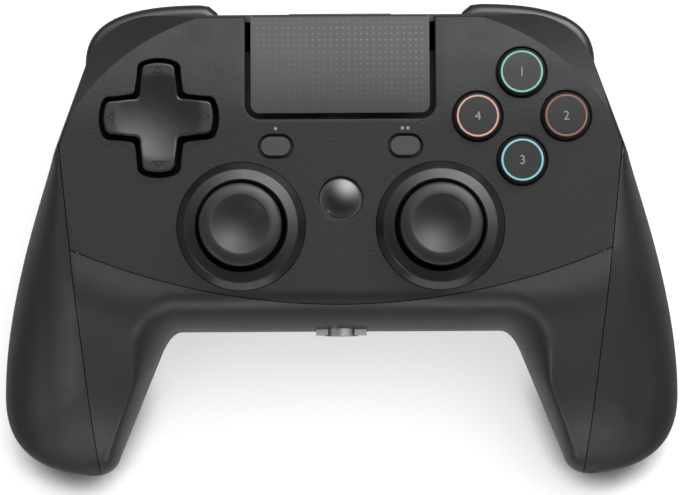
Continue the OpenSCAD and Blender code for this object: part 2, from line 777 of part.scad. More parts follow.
module stick_lever() {
  color("#b8b8ba") {
    translate([0, 0, -2.4]) cylinder(h = 17.2, r = lever_r);
    rotate([0, 90, 0]) translate([0, 0, -3.2]) cylinder(h = 6.4, r = lever_pin_r);
  }
}
module stick_cradle() {
  w = stick_frame_w/2;
  slot = lever_r + 0.2;
  color("#ececec") difference() {
    union() {
      translate([-slot - 1.4, -4.2, -2.2]) cube([2*slot + 2.8, 8.4, 4.2]);
      for (s = [0, 180]) rotate(s) translate([0, 4, 0]) rotate([-90, 0, 0]) cylinder(h = w - 4.1, r = journal_r);
    }
    translate([-slot, -3.4, -5]) cube([2*slot, 6.8, 10]);
    rotate([0, 90, 0]) translate([0, 0, -6]) cylinder(h = 12, r = lever_pin_r + bore_gap);
  }
}
module stick_arch() {
  w = stick_frame_w/2;
  slot = lever_r + 0.2;
  color("#ececec") difference() {
    union() {
      rotate([90, 0, 0]) translate([0, 0, -arch_w/2]) rotate_extrude(angle = 180)
        translate([arch_r, 0]) square([arch_t, arch_w]);
      for (s = [0, 180]) rotate(s) {
        translate([arch_r, -1.6, -1.4]) cube([arch_t, 3.2, 2]);
        translate([arch_r + 0.1, 0, 0]) rotate([0, 90, 0]) cylinder(h = w - arch_r - 0.2, r = journal_r);
      }
    }
    translate([-3.9, -slot, 1]) cube([7.8, 2*slot, 10]);
  }
}
module stick_frame() {
  w = stick_frame_w;
  h = stick_frame_z - board_z;
  base = board_z - pivot_z;
  color("#c4c6c8") difference() {
    translate([-w/2, -w/2, base]) cube([w, w, h]);
    translate([-w/2 + stick_wall, -w/2 + stick_wall, base + 0.8])
      cube([w - 2*stick_wall, w - 2*stick_wall, h]);
    for (a = [[0, 90, 0], [90, 0, 0]]) rotate(a) translate([0, 0, -w])
      cylinder(h = 2*w, r = journal_r + bore_gap);
  }
}
module stick_sensors() {
  w = stick_frame_w/2;
  base = board_z - pivot_z;
  for (a = [0, -90]) color("#2f6b46") rotate(a) translate([w, -5.5, base]) cube([3.4, 11, stick_frame_h - 0.3]);
}
module stick_ring() {
  ri = ring_hole_d/2;
  ro = ring_d/2;
  color(black) rotate_extrude($fn = 128) polygon([
    [ri, under_z - spigot_drop], [spigot_r, under_z - spigot_drop], [spigot_r, face_z - ring_seat],
    [ro, face_z - ring_seat], [ro, face_z + 0.1], [ro - ring_skirt, face_z + ring_rise - 0.9],
    [ro - ring_skirt - 0.3, face_z + ring_rise - 0.6], [ri + 0.4, face_z + ring_rise], [ri, face_z + ring_rise - 0.3]
  ]);
}
module left_stick(z) {
  translate([-stick_x, stick_y, z]) children();
}
module right_stick(z) {
  translate([stick_x, stick_y, z]) children();
}

// Bumper, on the right-hand side: a bar round the rear corner
bumper_rear = 55.5;
bumper_end = bumper_rear - 16.7;
bumper_in = 28.6;
function bumper_edge(t) =
  bend4([33, bumper_rear], [57.5, bumper_rear], [60.8, bumper_rear - 7.5], [59.8, bumper_end], t);
module bumper_plan() {
  polygon(concat(
    rounded([[bumper_in, 47], [bumper_in, 53.4], [bumper_edge(0.02).x - 3.4, bumper_rear - 0.3]], [0, 1.5, 0]),
    [for (i = [0:20]) bumper_edge(i/20)],
    [[55, bumper_end], [52.4, 42], [44.5, 47]]
  ));
}
module bumper() {
  color(black) {
    translate([0, 0, bumper_z - bumper_h]) linear_extrude(bumper_h) bumper_plan();
    translate([bumper_in + 3.4, 46, bumper_z - 3.6]) cube([3.4, 2, 2.4]);
  }
}
module bumper_bay() {
  g = bumper_gap;
  t = bumper_travel + bumper_gap;
  translate([0, 0, bumper_z - bumper_h - g]) linear_extrude(bumper_h + 2*g) polygon([
    [bumper_in - g, 80], [bumper_in - g, 47 - t], [44.2, 47 - t], [52 - g, 42 - t],
    [54.6 - g, bumper_end - t], [90, bumper_end - t], [90, 80]
  ]);
}
module bumper_switches() {
  both_sides() color("#c9c9c9") translate([bumper_in + 2.9, 40.6, shelf_z])
    cube([4.6, 3.6, bumper_z - 1 - shelf_z]);
}

// Trigger, on the right-hand side: a curved blade with two webs on a hinge pin
trigger_tip = [55.2, 4.6];
function trigger_face(t) = t < 0.5
  ? bend([trigger_y + 3.4, 25.4], [54.8, 25.6], [54, 16.4], 2*t)
  : bend([54, 16.4], [53.4, 9], trigger_tip, 2*t - 1);
function trigger_back(t) = t < 0.5
  ? bend([trigger_y + 3.4, 23.4], [52, 23.4], [51.6, 16.4], 2*t)
  : bend([51.6, 16.4], [51.2, 8.4], [trigger_tip.x - 1.8, 4.3], 2*t - 1);
module along_x(x, l) {
  translate([x, 0, 0]) rotate([90, 0, 90]) linear_extrude(l) children();
}
module trigger_hub() {
  difference() {
    union() {
      translate([trigger_y, trigger_z]) circle(2.8);
      polygon(rounded([
        [trigger_y, trigger_z - 2.7], [trigger_y + 1, 25.3], [trigger_y + 6, 25], [52.2, 21.6],
        [52.8, 16.4], [52.4, 9], [53.4, 6], [50.6, 7], [48.4, 14]
      ], [0, 0, 4, 3, 0, 0, 0, 1, 6]));
    }
    translate([trigger_y, trigger_z]) circle(trigger_pin_d/2 + bore_gap);
  }
}
module trigger() {
  blade = concat([for (i = [0:24]) trigger_face(i/24)], [for (i = [24:-1:0]) trigger_back(i/24)]);
  color(black) {
    along_x(trigger_x, trigger_w) polygon(blade);
    for (x = [trigger_x, trigger_x + trigger_w - web_t]) along_x(x, web_t) trigger_hub();
  }
}
module trigger_bracket() {
  low = trigger_x - side_gap - ear_t;
  high = trigger_x + trigger_w + side_gap;
  color("#6a6c70") {
    translate([low, bay_y - 5.4, board_z]) cube([high + ear_t - low, 4.6, 1.6]);
    for (x = [low, high]) along_x(x, ear_t) difference() {
      polygon([
        [bay_y - 5.4, board_z], [bay_y + 0.6, board_z], [bay_y + 0.6, trigger_z - 2.4],
        [trigger_y + 2.4, trigger_z - 2.4], [trigger_y + 2.4, trigger_z + 2.2],
        [bay_y - 5.4, trigger_z + 2.2]
      ]);
      translate([trigger_y, trigger_z]) circle(d = trigger_pin_d);
    }
  }
}
module trigger_pins() {
  low = trigger_x - side_gap - ear_t;
  both_sides() color("#c8c8ca") translate([low, trigger_y, trigger_z]) rotate([0, 90, 0])
    cylinder(h = trigger_w + 2*side_gap + 2*ear_t, d = trigger_pin_d);
}

// Round bar swept along a path
module bar(path, r, sides) {
  n = len(path);
  rings = [for (i = [0:n - 1])
    let (
      d = path[min(n - 1, i + 1)] - path[max(0, i - 1)],
      t = d/norm(d),
      u0 = cross(t, abs(t.x) < 0.8 ? [1, 0, 0] : [0, 0, 1]),
      u = u0/norm(u0),
      v = cross(t, u)
    )
    each [for (j = [0:sides - 1]) let (a = 360*j/sides) path[i] + r*(cos(a)*u + sin(a)*v)]];
  polyhedron(rings, concat(
    [[for (j = [0:sides - 1]) j]],
    [for (i = [0:n - 2], j = [0:sides - 1])
      let (p = i*sides + j, q = i*sides + (j + 1)%sides)
      each [[p, p + sides, q + sides], [p, q + sides, q]]],
    [[for (j = [sides - 1:-1:0]) (n - 1)*sides + j]]
  ), 4);
}
// Torsion spring round the trigger's pin: one leg on the bracket, one behind the blade
spring_turns = 4;
spring_r = 2.3;
wire_d = 0.6;
spring_pitch = 0.9;
module trigger_spring() {
  x0 = trigger_x + 6;
  n = 12*spring_turns;
  coil = [for (i = [0:n]) let (a = 90 + 360*spring_turns*i/n)
    [x0 + spring_pitch*spring_turns*i/n, trigger_y + spring_r*cos(a), trigger_z + spring_r*sin(a)]];
  color("#b0b0b4") bar(concat(
    [[x0, bay_y - 4, trigger_z + spring_r], [x0, trigger_y - 1, trigger_z + spring_r]],
    coil,
    [[x0 + spring_pitch*spring_turns + 0.2, trigger_y + 6, trigger_z + spring_r - 3]]
  ), wire_d/2, 6);
}

// Rumble motor with its eccentric weight, on the right-hand side
module motor() {
  color("#b9bbbe") translate([motor_x, motor_y, motor_z]) rotate([0, 90, 0]) {
    cylinder(h = motor_l, d = motor_d);
    cylinder(h = motor_l + 8, r = motor_shaft_r);
  }
}
module motor_weight() {
  color("#8d8f92") translate([motor_x + motor_l + 1, motor_y, motor_z]) rotate([0, 90, 0]) difference() {
    union() {
      cylinder(h = 6, r = 2.4);
      intersection() {
        cylinder(h = 6, d = motor_d - 1);
        translate([0, -motor_d, -1]) cube([motor_d, 2*motor_d, 10]);
      }
    }
    translate([0, 0, -1]) cylinder(h = 10, r = motor_shaft_r + bore_gap);
  }
}

// Main board, battery and the sockets
module main_board() {
  color("#1f5a3a") difference() {
    translate([0, 0, board_z - board_t]) linear_extrude(board_t) {
      translate([-52, -14]) square([104, 14 + bay_y - 0.4]);
      translate([-14, 0]) square([28, case_rear - 4.2]);
    }
    translate([-6.6, -20, 0]) cube([13.2, 13.4, 60]);
    both_sides() for (i = [0, 1]) translate([screw_at[i].x, screw_at[i].y, 0])
      cylinder(h = 60, r = boss_r + 0.4);
  }
}
battery_h = 4.4;
module battery() {
  color("#3b5a8c") translate([-22, -6, belly_z + wall + 0.2]) cube([44, 39, battery_h]);
}
jack_w = 12;
module jack_room(grow) {
  translate([-jack_w/2 - grow, -case_front - 5, jack_z - 2.4 - grow]) cube([jack_w + 2*grow, 8, 4.8 + 2*grow]);
  translate([0, -case_front + jack_flange_t, jack_z]) rotate([90, 0, 0])
    cylinder(h = jack_flange_t + 5, r = jack_flange_r + grow);
}
module headset_socket() {
  front = -case_front - jack_stand;
  color("#b4b2ae") difference() {
    union() {
      translate([-jack_w/2, front + 0.2, jack_z - 2.4]) cube([jack_w, 3.4, 4.8]);
      translate([0, front + jack_flange_t, jack_z]) rotate([90, 0, 0]) cylinder(h = jack_flange_t, r = jack_flange_r);
      translate([-5, front + jack_flange_t - 0.2, jack_z - 3.2]) cube([10, jack_l + 1.6 - jack_flange_t, 6.4]);
    }
    translate([0, front + jack_l, jack_z]) rotate([90, 0, 0]) cylinder(h = jack_l + 1, d = jack_d);
  }
}
usb_w = 8;
usb_h = 3;
module usb_socket() {
  color("#b9bbbe") translate([0, case_rear - 6, board_z]) difference() {
    translate([-usb_w/2, 0, 0]) cube([usb_w, 5.8, usb_h]);
    translate([-usb_w/2 + 0.5, 1.6, 0.5]) cube([usb_w - 1, 6, usb_h - 1]);
  }
}
lens_w = 24;
lens_h = 3.4;
lens_z = 30.3;
module status_lens() {
  color("#5c6066") translate([-lens_w/2, case_rear - wall, lens_z]) cube([lens_w, wall, lens_h]);
}

face_plate();
front_shell();
rear_shell();
mirror([1, 0, 0]) grip_cover();  // left_grip_cover
grip_cover();  // right_grip_cover
case_screws();
touchpad();
touchpad_board();
touchpad_switch();
dpad();
dpad_rocker();
dpad_membrane();
face_button(0);  // north_button
face_button(1);  // east_button
face_button(2);  // south_button
face_button(3);  // west_button
face_ring(0, "#4fa896");  // north_ring
face_ring(1, "#b0603f");  // east_ring
face_ring(2, "#3fb0c0");  // south_ring
face_ring(3, "#e09a80");  // west_ring
face_membrane();
home_button();
mirror([1, 0, 0]) menu_button();  // left_menu_button
menu_button();  // right_menu_button
menu_switches();
mid_frame();
left_stick(pivot_z) stick_cap();  // left_stick_cap
left_stick(pivot_z) stick_lever();  // left_stick_lever
left_stick(pivot_z) stick_cradle();  // left_stick_cradle
left_stick(pivot_z) stick_arch();  // left_stick_arch
left_stick(pivot_z) stick_frame();  // left_stick_frame
left_stick(pivot_z) stick_sensors();  // left_stick_sensors
left_stick(0) stick_ring();  // left_stick_ring
right_stick(pivot_z) stick_cap();  // right_stick_cap
right_stick(pivot_z) stick_lever();  // right_stick_lever
right_stick(pivot_z) stick_cradle();  // right_stick_cradle
right_stick(pivot_z) stick_arch();  // right_stick_arch
right_stick(pivot_z) stick_frame();  // right_stick_frame
right_stick(pivot_z) stick_sensors();  // right_stick_sensors
right_stick(0) stick_ring();  // right_stick_ring
mirror([1, 0, 0]) bumper();  // left_bumper
bumper();  // right_bumper
bumper_switches();
mirror([1, 0, 0]) trigger();  // left_trigger
trigger();  // right_trigger
mirror([1, 0, 0]) trigger_bracket();  // left_trigger_bracket
trigger_bracket();  // right_trigger_bracket
trigger_pins();
mirror([1, 0, 0]) trigger_spring();  // left_trigger_spring
trigger_spring();  // right_trigger_spring
mirror([1, 0, 0]) motor();  // left_motor
motor();  // right_motor
mirror([1, 0, 0]) motor_weight();  // left_motor_weight
motor_weight();  // right_motor_weight
main_board();
battery();
headset_socket();
usb_socket();
status_lens();
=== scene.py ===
# A wireless gamepad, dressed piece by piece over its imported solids, in the order in which it is
# put together. Pieces are drawn in millimetres and come out in metres, in the solids' own frame.
import math

import bmesh
import bpy
import numpy as np
from mathutils import Matrix, Vector


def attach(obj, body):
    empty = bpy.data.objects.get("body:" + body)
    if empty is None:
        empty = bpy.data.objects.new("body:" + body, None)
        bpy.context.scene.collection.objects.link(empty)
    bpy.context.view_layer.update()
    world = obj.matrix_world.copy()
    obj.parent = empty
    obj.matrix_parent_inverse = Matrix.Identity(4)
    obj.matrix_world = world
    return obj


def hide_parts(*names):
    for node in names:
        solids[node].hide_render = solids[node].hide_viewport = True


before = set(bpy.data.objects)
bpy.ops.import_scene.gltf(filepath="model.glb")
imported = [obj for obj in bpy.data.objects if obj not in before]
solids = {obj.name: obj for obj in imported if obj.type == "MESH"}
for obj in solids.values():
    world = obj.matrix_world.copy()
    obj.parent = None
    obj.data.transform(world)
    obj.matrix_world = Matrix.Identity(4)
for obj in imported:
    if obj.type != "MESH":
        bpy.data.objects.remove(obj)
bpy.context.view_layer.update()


# Lower moulding: the belly with its two resting humps, trigger bays and screw wells. It is one
# injection moulding of black plastic with a satin tool finish, and six screws come up through it.
case_width = 161.2
case_rear = 53.1
case_front = 21.2
grip_reach = 55.5
face_height = 40.0
belly_height = 14.0
wall = 2.0
seam = 0.2
corner_radius = 18.0
cover_start = np.array([67.3, 21.8])
belt_height = 18.3
belt_slope = 0.168
crest_slope = 0.1027
grip_slope = 0.42
seam_radius = 160.0
seam_front = 15.4


def parabola(start, pull, end, share):
    t = np.asarray(share, float)[:, None]
    return (1 - t)**2*np.array(start) + 2*t*(1 - t)*np.array(pull) + t**2*np.array(end)


def straight(start, end, share):
    t = np.asarray(share, float)[:, None]
    return np.array(start) + (np.array(end) - np.array(start))*t


def ease(share):
    q = np.clip(share, 0, 1)
    return q*q*(3 - 2*q)


def round_over(depth, radius):
    q = 1 - np.clip(depth/radius, 0, 1)
    return np.sqrt(1 - q*q)


def belt(y):
    return belt_height + belt_slope*y


def crest_x(y):
    return cover_start[0] - 1.5 - (cover_start[1] - y)*crest_slope


def seam_y(x):
    return seam_radius - seam_front - np.sqrt(seam_radius**2 - x*x)


def case_edges(density):
    """Outer and inner edge of the right-hand half, from the middle to the grip's tip, in pairs."""
    middle, corner, side, turn, grip, end = [round(density*n) for n in (2, 8, 2, 4, 10, 8)]
    side_normal = np.array([0.938, 0.347])
    side_angle = math.atan2(side_normal[1], side_normal[0])
    centre_y = case_rear - corner_radius
    reach = side_normal @ cover_start - corner_radius - side_normal[1]*centre_y
    centre = np.array([reach/side_normal[0], centre_y])
    angles = math.pi/2 + (side_angle - math.pi/2)*np.arange(corner + 1)/corner
    arc = centre + corner_radius*np.stack([np.cos(angles), np.sin(angles)], 1)
    grip_x = case_width/2
    widest = np.array([grip_x, -37.0])
    flank = np.array([grip_x, cover_start[1] - (grip_x - cover_start[0])*2.72])
    tip = np.array([60.0, -grip_reach])
    tip_inner = np.array([53.2, 4.5 - grip_reach])
    grip_inner = np.array([42.8, -4.8 - case_front])
    front_end = np.array([38.0, -case_front])
    bends = corner + side + turn
    last = np.sin(math.pi/2*np.arange(end + 1)/end)
    outer = np.concatenate([
        straight([0, case_rear], arc[0], np.arange(middle)/middle),
        arc[:-1],
        straight(arc[-1], cover_start, np.arange(side)/side),
        parabola(cover_start, flank, widest, 0.36*np.arange(turn)/turn),
        parabola(cover_start, flank, widest, 0.36 + 0.64*np.arange(grip)/grip),
        parabola(widest, [grip_x, 1.5 - grip_reach], tip, last),
    ])
    inner = np.concatenate([
        straight([0, -case_front], front_end, np.arange(middle)/middle),
        parabola(front_end, [40.6, -case_front], grip_inner, np.arange(bends)/bends),
        straight(grip_inner, tip_inner, np.arange(grip)/grip),
        parabola(tip_inner, [54.5, -grip_reach], tip, last),
    ])
    return outer, inner


def to_path(points, path):
    """Distance of each point from a path of straight stretches."""
    nearest = np.full(points.shape[:-1], 1e9)
    for a, b in zip(path[:-1], path[1:]):
        along = b - a
        share = np.clip((points - a) @ along/max(along @ along, 1e-12), 0, 1)
        away = points - a - share[..., None]*along
        nearest = np.minimum(nearest, np.hypot(away[..., 0], away[..., 1]))
    return nearest


def crown(x, y):
    """Height of the upper side before its edges are rounded over: flat, then falling to the grips."""
    ahead = seam_y(np.minimum(x, 70)) + 1 - y
    fall = np.where(ahead < 16, np.maximum(ahead, 0)**2/32, ahead - 8)
    lean = np.maximum(0, crest_x(y) - x)*ease((-12 - y)/20)*ease((x - 34)/10)
    return face_height - grip_slope*fall - 0.14*lean


def keel(x, y, inset):
    """Height of the underside before its edges are rounded over, with the two humps it rests on."""
    belly = belly_height*(1 - ease((-6 - y)/30)*ease((x - 32)/14))
    away = np.hypot(x - 42, y - 25)
    return belly - belly_height*(1 - ease((away - 6 + inset)/9))


def rounding(y):
    """Radii of the edges: upper outer, upper inner, lower outer and lower inner."""
    back = np.clip((cover_start[1] - y)/(cover_start[1] + 37), 0, 1)
    outer = np.maximum(1.8, 1 + (case_width/2 - crest_x(-37) - 1)*(1 - (1 - back)**1.6))
    front = ease((-case_front - y)/15)
    return outer, 8.5 - 5.5*front, 11 + 4*ease((cover_start[1] - y)/40), 5 + 8*front


facet_centre, facet_radius, facet_slope = 17.7, 53.7, 0.53


def corner_facet(x, y):
    """Height of the long sloping facet on each rear corner, part of a cone."""
    away = np.hypot(np.maximum(x - facet_centre, 0), y)
    return face_height - facet_slope*np.where(y > 0.364*(x - facet_centre), away - facet_radius, -40)


def soft_least(a, b, blend=0.6):
    """The lesser of two heights, with the crease between them rounded."""
    h = np.clip(0.5 + 0.5*(b - a)/blend, 0, 1)
    return b + (a - b)*h - blend*h*(1 - h)


def case_form(density, inset=0.0, between=4):
    """The whole closed outside of the case, or its hollow when it is drawn in."""
    outer, inner = case_edges(density)
    rim = max(3, round(3*density))
    turn = np.linspace(0, math.pi/2, rim + 1)
    flat = np.linspace(0, 1, between + 2)[1:-1]

    def inward(path, way):
        t = np.gradient(path, axis=0)
        t /= np.maximum(np.linalg.norm(t, axis=1, keepdims=True), 1e-9)
        return path + inset*way*np.stack([-t[:, 1], t[:, 0]], 1)

    a, b = inward(inner, 1), inward(outer, -1)
    width = np.maximum(np.linalg.norm(b - a, axis=1, keepdims=True), 1e-9)
    radii_a, radii_b = rounding(a[:, 1]), rounding(b[:, 1])

    def shares(inner_radius, outer_radius):
        p = np.minimum(inner_radius[:, None], 0.48*width)/width
        q = np.minimum(outer_radius[:, None], 0.48*width)/width
        return np.concatenate([
            p*(1 - np.cos(turn)), p + (1 - q - p)*flat, 1 - q*(1 - np.cos(turn[::-1])),
        ], 1)

    over = shares(radii_a[1], radii_b[0])
    under = shares(radii_a[3], radii_b[2])[:, -2:0:-1]
    share = np.concatenate([over, under], 1)
    plan = a[:, None] + (b - a)[:, None]*share[..., None]
    x, y = plan[..., 0], plan[..., 1]
    radii = rounding(y)
    in_depth, out_depth = to_path(plan, inner) - inset, to_path(plan, outer) - inset
    top = belt(y) + (crown(x, y) - inset - belt(y))*round_over(
        in_depth, np.maximum(0.5, radii[1] - inset))*round_over(
        out_depth, np.maximum(0.5, radii[0] - inset))
    if inset:
        top = np.minimum(top, corner_facet(x, y) - inset)
    low = belt(y) - (belt(y) - keel(x, y, inset) - inset)*round_over(
        in_depth, radii[3] - inset)*round_over(out_depth, radii[2] - inset)
    z = np.where(np.arange(share.shape[1]) < over.shape[1], top, low)
    half = np.stack([x, y, z], 2)
    if inset:
        half = half[:-max(2, round(2.5*density))]
    whole = np.concatenate([half[:0:-1]*[-1, 1, 1], half])
    rows, columns = whole.shape[:2]
    bm = bmesh.new()
    bmesh.ops.create_grid(bm, x_segments=rows - 1, y_segments=columns, size=1)
    for v in bm.verts:
        row = round((v.co.x + 1)/2*(rows - 1))
        column = round((v.co.y + 1)/2*columns)%columns
        v.co = whole[row, column]
    bmesh.ops.remove_doubles(bm, verts=bm.verts, dist=0.002)
    bmesh.ops.holes_fill(bm, edges=bm.edges)
    bmesh.ops.recalc_face_normals(bm, faces=bm.faces)
    return bm


def prism(outline, low, high):
    """An upright block over a plan."""
    bm = bmesh.new()
    face = bm.faces.new([bm.verts.new((x, y, low)) for x, y in outline])
    up = bmesh.ops.extrude_face_region(bm, geom=[face])["geom"]
    tops = [v for v in up if isinstance(v, bmesh.types.BMVert)]
    bmesh.ops.translate(bm, verts=tops, vec=(0, 0, high - low))
    bmesh.ops.recalc_face_normals(bm, faces=bm.faces)
    return bm


def block(low, high):
    return prism([(low[0], low[1]), (high[0], low[1]), (high[0], high[1]), (low[0], high[1])],
                 low[2], high[2])


def turned(profile, steps=96, angle=math.tau, start=0.0, centre=(0, 0, 0)):
    """A shape turned about an upright axis from (radius, height) points."""
    bm = bmesh.new()
    ring = [bm.verts.new((r, 0, z)) for r, z in profile]
    edges = [bm.edges.new(pair) for pair in zip(ring, ring[1:])]
    whole = angle >= math.tau
    if not whole:
        edges.append(bm.edges.new((ring[-1], ring[0])))
    bmesh.ops.rotate(bm, verts=ring, cent=(0, 0, 0), matrix=Matrix.Rotation(start, 3, "Z"))
    bmesh.ops.spin(bm, geom=ring + edges, axis=(0, 0, 1), cent=(0, 0, 0), steps=steps,
                   angle=angle, use_merge=whole)
    bmesh.ops.remove_doubles(bm, verts=bm.verts, dist=0.0005)
    if not whole:
        bmesh.ops.holes_fill(bm, edges=[e for e in bm.edges if e.is_boundary])
    bmesh.ops.recalc_face_normals(bm, faces=bm.faces)
    bmesh.ops.translate(bm, verts=bm.verts, vec=centre)
    return bm


def mirrored(bm):
    twin = bm.copy()
    bmesh.ops.scale(twin, vec=(-1, 1, 1), verts=twin.verts)
    bmesh.ops.reverse_faces(twin, faces=twin.faces)
    return twin


def boolean(shape, tool, how="DIFFERENCE"):
    """Cuts, joins or keeps the overlap of two closed shapes."""
    pair = []
    for bm in (shape, tool):
        mesh = bpy.data.meshes.new("work")
        bm.to_mesh(mesh)
        bm.free()
        pair.append(bpy.data.objects.new("work", mesh))
        bpy.context.scene.collection.objects.link(pair[-1])
    step = pair[0].modifiers.new("step", "BOOLEAN")
    step.operation = how
    step.solver = "MANIFOLD"
    step.object = pair[1]
    shown = pair[0].evaluated_get(bpy.context.evaluated_depsgraph_get())
    out = bmesh.new()
    out.from_mesh(shown.to_mesh())
    for made in pair:
        bpy.data.meshes.remove(made.data)
    return out


def cut(shape, *tools):
    for tool in tools:
        shape = boolean(shape, tool)
    return shape


def round_edges(bm, edges, width, segments, clamp=False):
    bmesh.ops.bevel(bm, geom=edges, offset=width, affect="EDGES", segments=segments, profile=0.5,
                    material=-1, clamp_overlap=clamp)
    return bm


def soften(bm, width, angle=40, segments=2):
    """Rounds every edge that is sharper than the angle."""
    bmesh.ops.remove_doubles(bm, verts=bm.verts, dist=0.004)
    bmesh.ops.dissolve_degenerate(bm, edges=bm.edges, dist=0.004)
    sharp = [e for e in bm.edges
             if e.is_manifold and e.calc_face_angle(0) > math.radians(angle)]
    return round_edges(bm, sharp, width, segments, True)


def piece(name, bm, material, body, slot, *stands_for):
    """Turns a drawing in millimetres into a finished piece that rides on a body."""
    bmesh.ops.scale(bm, vec=(0.001, 0.001, 0.001), verts=bm.verts)
    mesh = bpy.data.meshes.new(name)
    bm.to_mesh(mesh)
    bm.free()
    mesh.shade_smooth()
    mesh.set_sharp_from_angle(angle=math.radians(24))
    mesh.materials.append(material)
    made = bpy.data.objects.new(name, mesh)
    bpy.context.scene.collection.objects.link(made)
    weigh = made.modifiers.new("even shading", "WEIGHTED_NORMAL")
    weigh.keep_sharp = True
    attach(made, body)
    if stands_for:
        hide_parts(*stands_for)
    return made


def node(tree, kind, inputs=None, **settings):
    """Adds a shader node; a socket takes a value or another node's output."""
    made = tree.nodes.new("ShaderNode" + kind)
    for key, value in settings.items():
        setattr(made, key, value)
    for key, value in (inputs or {}).items():
        if isinstance(value, bpy.types.NodeSocket):
            tree.links.new(value, made.inputs[key])
        else:
            made.inputs[key].default_value = value
    return made


def maths(tree, how, first, second=0.0):
    return node(tree, "Math", {0: first, 1: second}, operation=how).outputs[0]


def vectors(tree, how, first, second=(0, 0, 0)):
    made = node(tree, "VectorMath", {0: first, 1: second}, operation=how)
    return made.outputs["Value" if how in ("DISTANCE", "DOT_PRODUCT") else "Vector"]


def ranged(tree, value, low, high, start=0.0, end=1.0, how="LINEAR"):
    """A value carried over from one range to another."""
    return node(tree, "MapRange", {"Value": value, "From Min": low, "From Max": high, "To Min": start,
                                   "To Max": end}, interpolation_type=how).outputs[0]


def blend(tree, share, *tones):
    """A colour between two, each of them given or made by other nodes."""
    first, second = [t if isinstance(t, bpy.types.NodeSocket) else (*t, 1) for t in tones]
    return node(tree, "Mix", {0: share, 6: first, 7: second}, data_type="RGBA").outputs[2]


def effect(name, inputs, outputs):
    """An empty node group with named sockets."""
    group = bpy.data.node_groups.new(name, "ShaderNodeTree")
    for label, value in inputs.items():
        socket = group.interface.new_socket(label, in_out="INPUT", socket_type="NodeSocketFloat")
        socket.default_value = value
    for label in outputs:
        group.interface.new_socket(label, in_out="OUTPUT", socket_type="NodeSocketFloat")
    return group, group.nodes.new("NodeGroupInput").outputs, group.nodes.new("NodeGroupOutput").inputs


grain_effect, given, made = effect("tool_grain", {"Scale": 2000.0}, ["Height", "Tone"])
at = node(grain_effect, "TexCoord").outputs["Object"]
pebbles = node(grain_effect, "TexVoronoi", {"Vector": at, "Scale": given["Scale"]},
               feature="SMOOTH_F1")
fine = node(grain_effect, "TexNoise", {"Vector": at, "Scale": given["Scale"], "Detail": 3.0})
clouds = node(grain_effect, "TexNoise", {"Vector": at, "Scale": 90.0, "Detail": 4.0})
grain_effect.links.new(
    maths(grain_effect, "MULTIPLY", pebbles.outputs["Distance"], fine.outputs["Fac"]), made["Height"])
grain_effect.links.new(node(grain_effect, "Mix", {
    0: 0.5, 2: clouds.outputs["Fac"], 3: fine.outputs["Fac"]}).outputs[0], made["Tone"])

touch_effect, given, made = effect("handling", {"Scale": 120.0, "Low": 0.3, "High": 0.5},
                                   ["Roughness"])
at = node(touch_effect, "TexCoord").outputs["Object"]
smears = node(touch_effect, "TexNoise", {
    "Vector": at, "Scale": given["Scale"], "Detail": 5.0, "Roughness": 0.6, "Distortion": 0.6})
touch_effect.links.new(
    ranged(touch_effect, smears.outputs["Fac"], 0.3, 0.7, given["Low"], given["High"]), made["Roughness"])

crown_effect, given, made = effect("face_crown", {"Start": 0.026, "Bend": 13.0}, ["Height"])
at = node(crown_effect, "TexCoord").outputs["Object"]
along = node(crown_effect, "SeparateXYZ", {0: at}).outputs["Y"]
rear = maths(crown_effect, "MAXIMUM", maths(crown_effect, "SUBTRACT", along, given["Start"]))
fall = maths(crown_effect, "MULTIPLY", maths(crown_effect, "MULTIPLY", rear, rear), given["Bend"])
crown_effect.links.new(maths(crown_effect, "MULTIPLY", fall, -0.5), made["Height"])

valley_effect, given, made = effect("seam_valley", {"Rise": 0.0012, "Width": 0.012}, ["Height"])
at = node(valley_effect, "TexCoord").outputs["Object"]
level = vectors(valley_effect, "MULTIPLY", at, (1, 1, 0))
away = vectors(valley_effect, "DISTANCE", level, (0, 0.001*(seam_radius - seam_front), 0))
ahead = maths(valley_effect, "SUBTRACT", away, 0.001*seam_radius)
valley_effect.links.new(
    ranged(valley_effect, ahead, 0.0, given["Width"], 0.0, given["Rise"], "SMOOTHSTEP"), made["Height"])


def shader(name):
    made = bpy.data.materials.new(name)
    made.use_nodes = True
    return made, made.node_tree, made.node_tree.nodes["Principled BSDF"]


def place(tree, group, **values):
    """Puts an effect into a material with its own values and gives back its outputs."""
    made = tree.nodes.new("ShaderNodeGroup")
    made.node_tree = group
    for label, value in values.items():
        made.inputs[label].default_value = value
    return made.outputs


def surface(tree, base, tone, roughness, normal):
    tree.links.new(tone, base.inputs["Base Color"])
    tree.links.new(roughness, base.inputs["Roughness"])
    tree.links.new(normal, base.inputs["Normal"])


def moulded(name, dark, light, low, high, scale=2000.0, depth=0.00002, form=None,
            specular=0.5, coat=0.0):
    """Moulded plastic or rubber: tool grain, cloudy tone and handled gloss."""
    made, tree, base = shader(name)
    grain = place(tree, grain_effect, Scale=scale)
    touch = place(tree, touch_effect, Low=low, High=high)
    bump = node(tree, "Bump", {"Height": grain["Height"], "Strength": 0.6, "Distance": depth})
    surface(tree, base, blend(tree, grain["Tone"], dark, light), touch["Roughness"], bump.outputs["Normal"])
    base.inputs["Specular IOR Level"].default_value = specular
    base.inputs["Coat Weight"].default_value = coat
    if form:
        curve = node(tree, "Bump", {"Height": place(tree, form)["Height"], "Distance": 1.0})
        tree.links.new(curve.outputs["Normal"], bump.inputs["Normal"])
    return made


def tipped(bm, angle, axis):
    bmesh.ops.rotate(bm, verts=bm.verts, cent=(0, 0, 0), matrix=Matrix.Rotation(angle, 3, axis))
    return bm


def moved(bm, x, y, z=0.0):
    bmesh.ops.translate(bm, verts=bm.verts, vec=(x, y, z))
    return bm


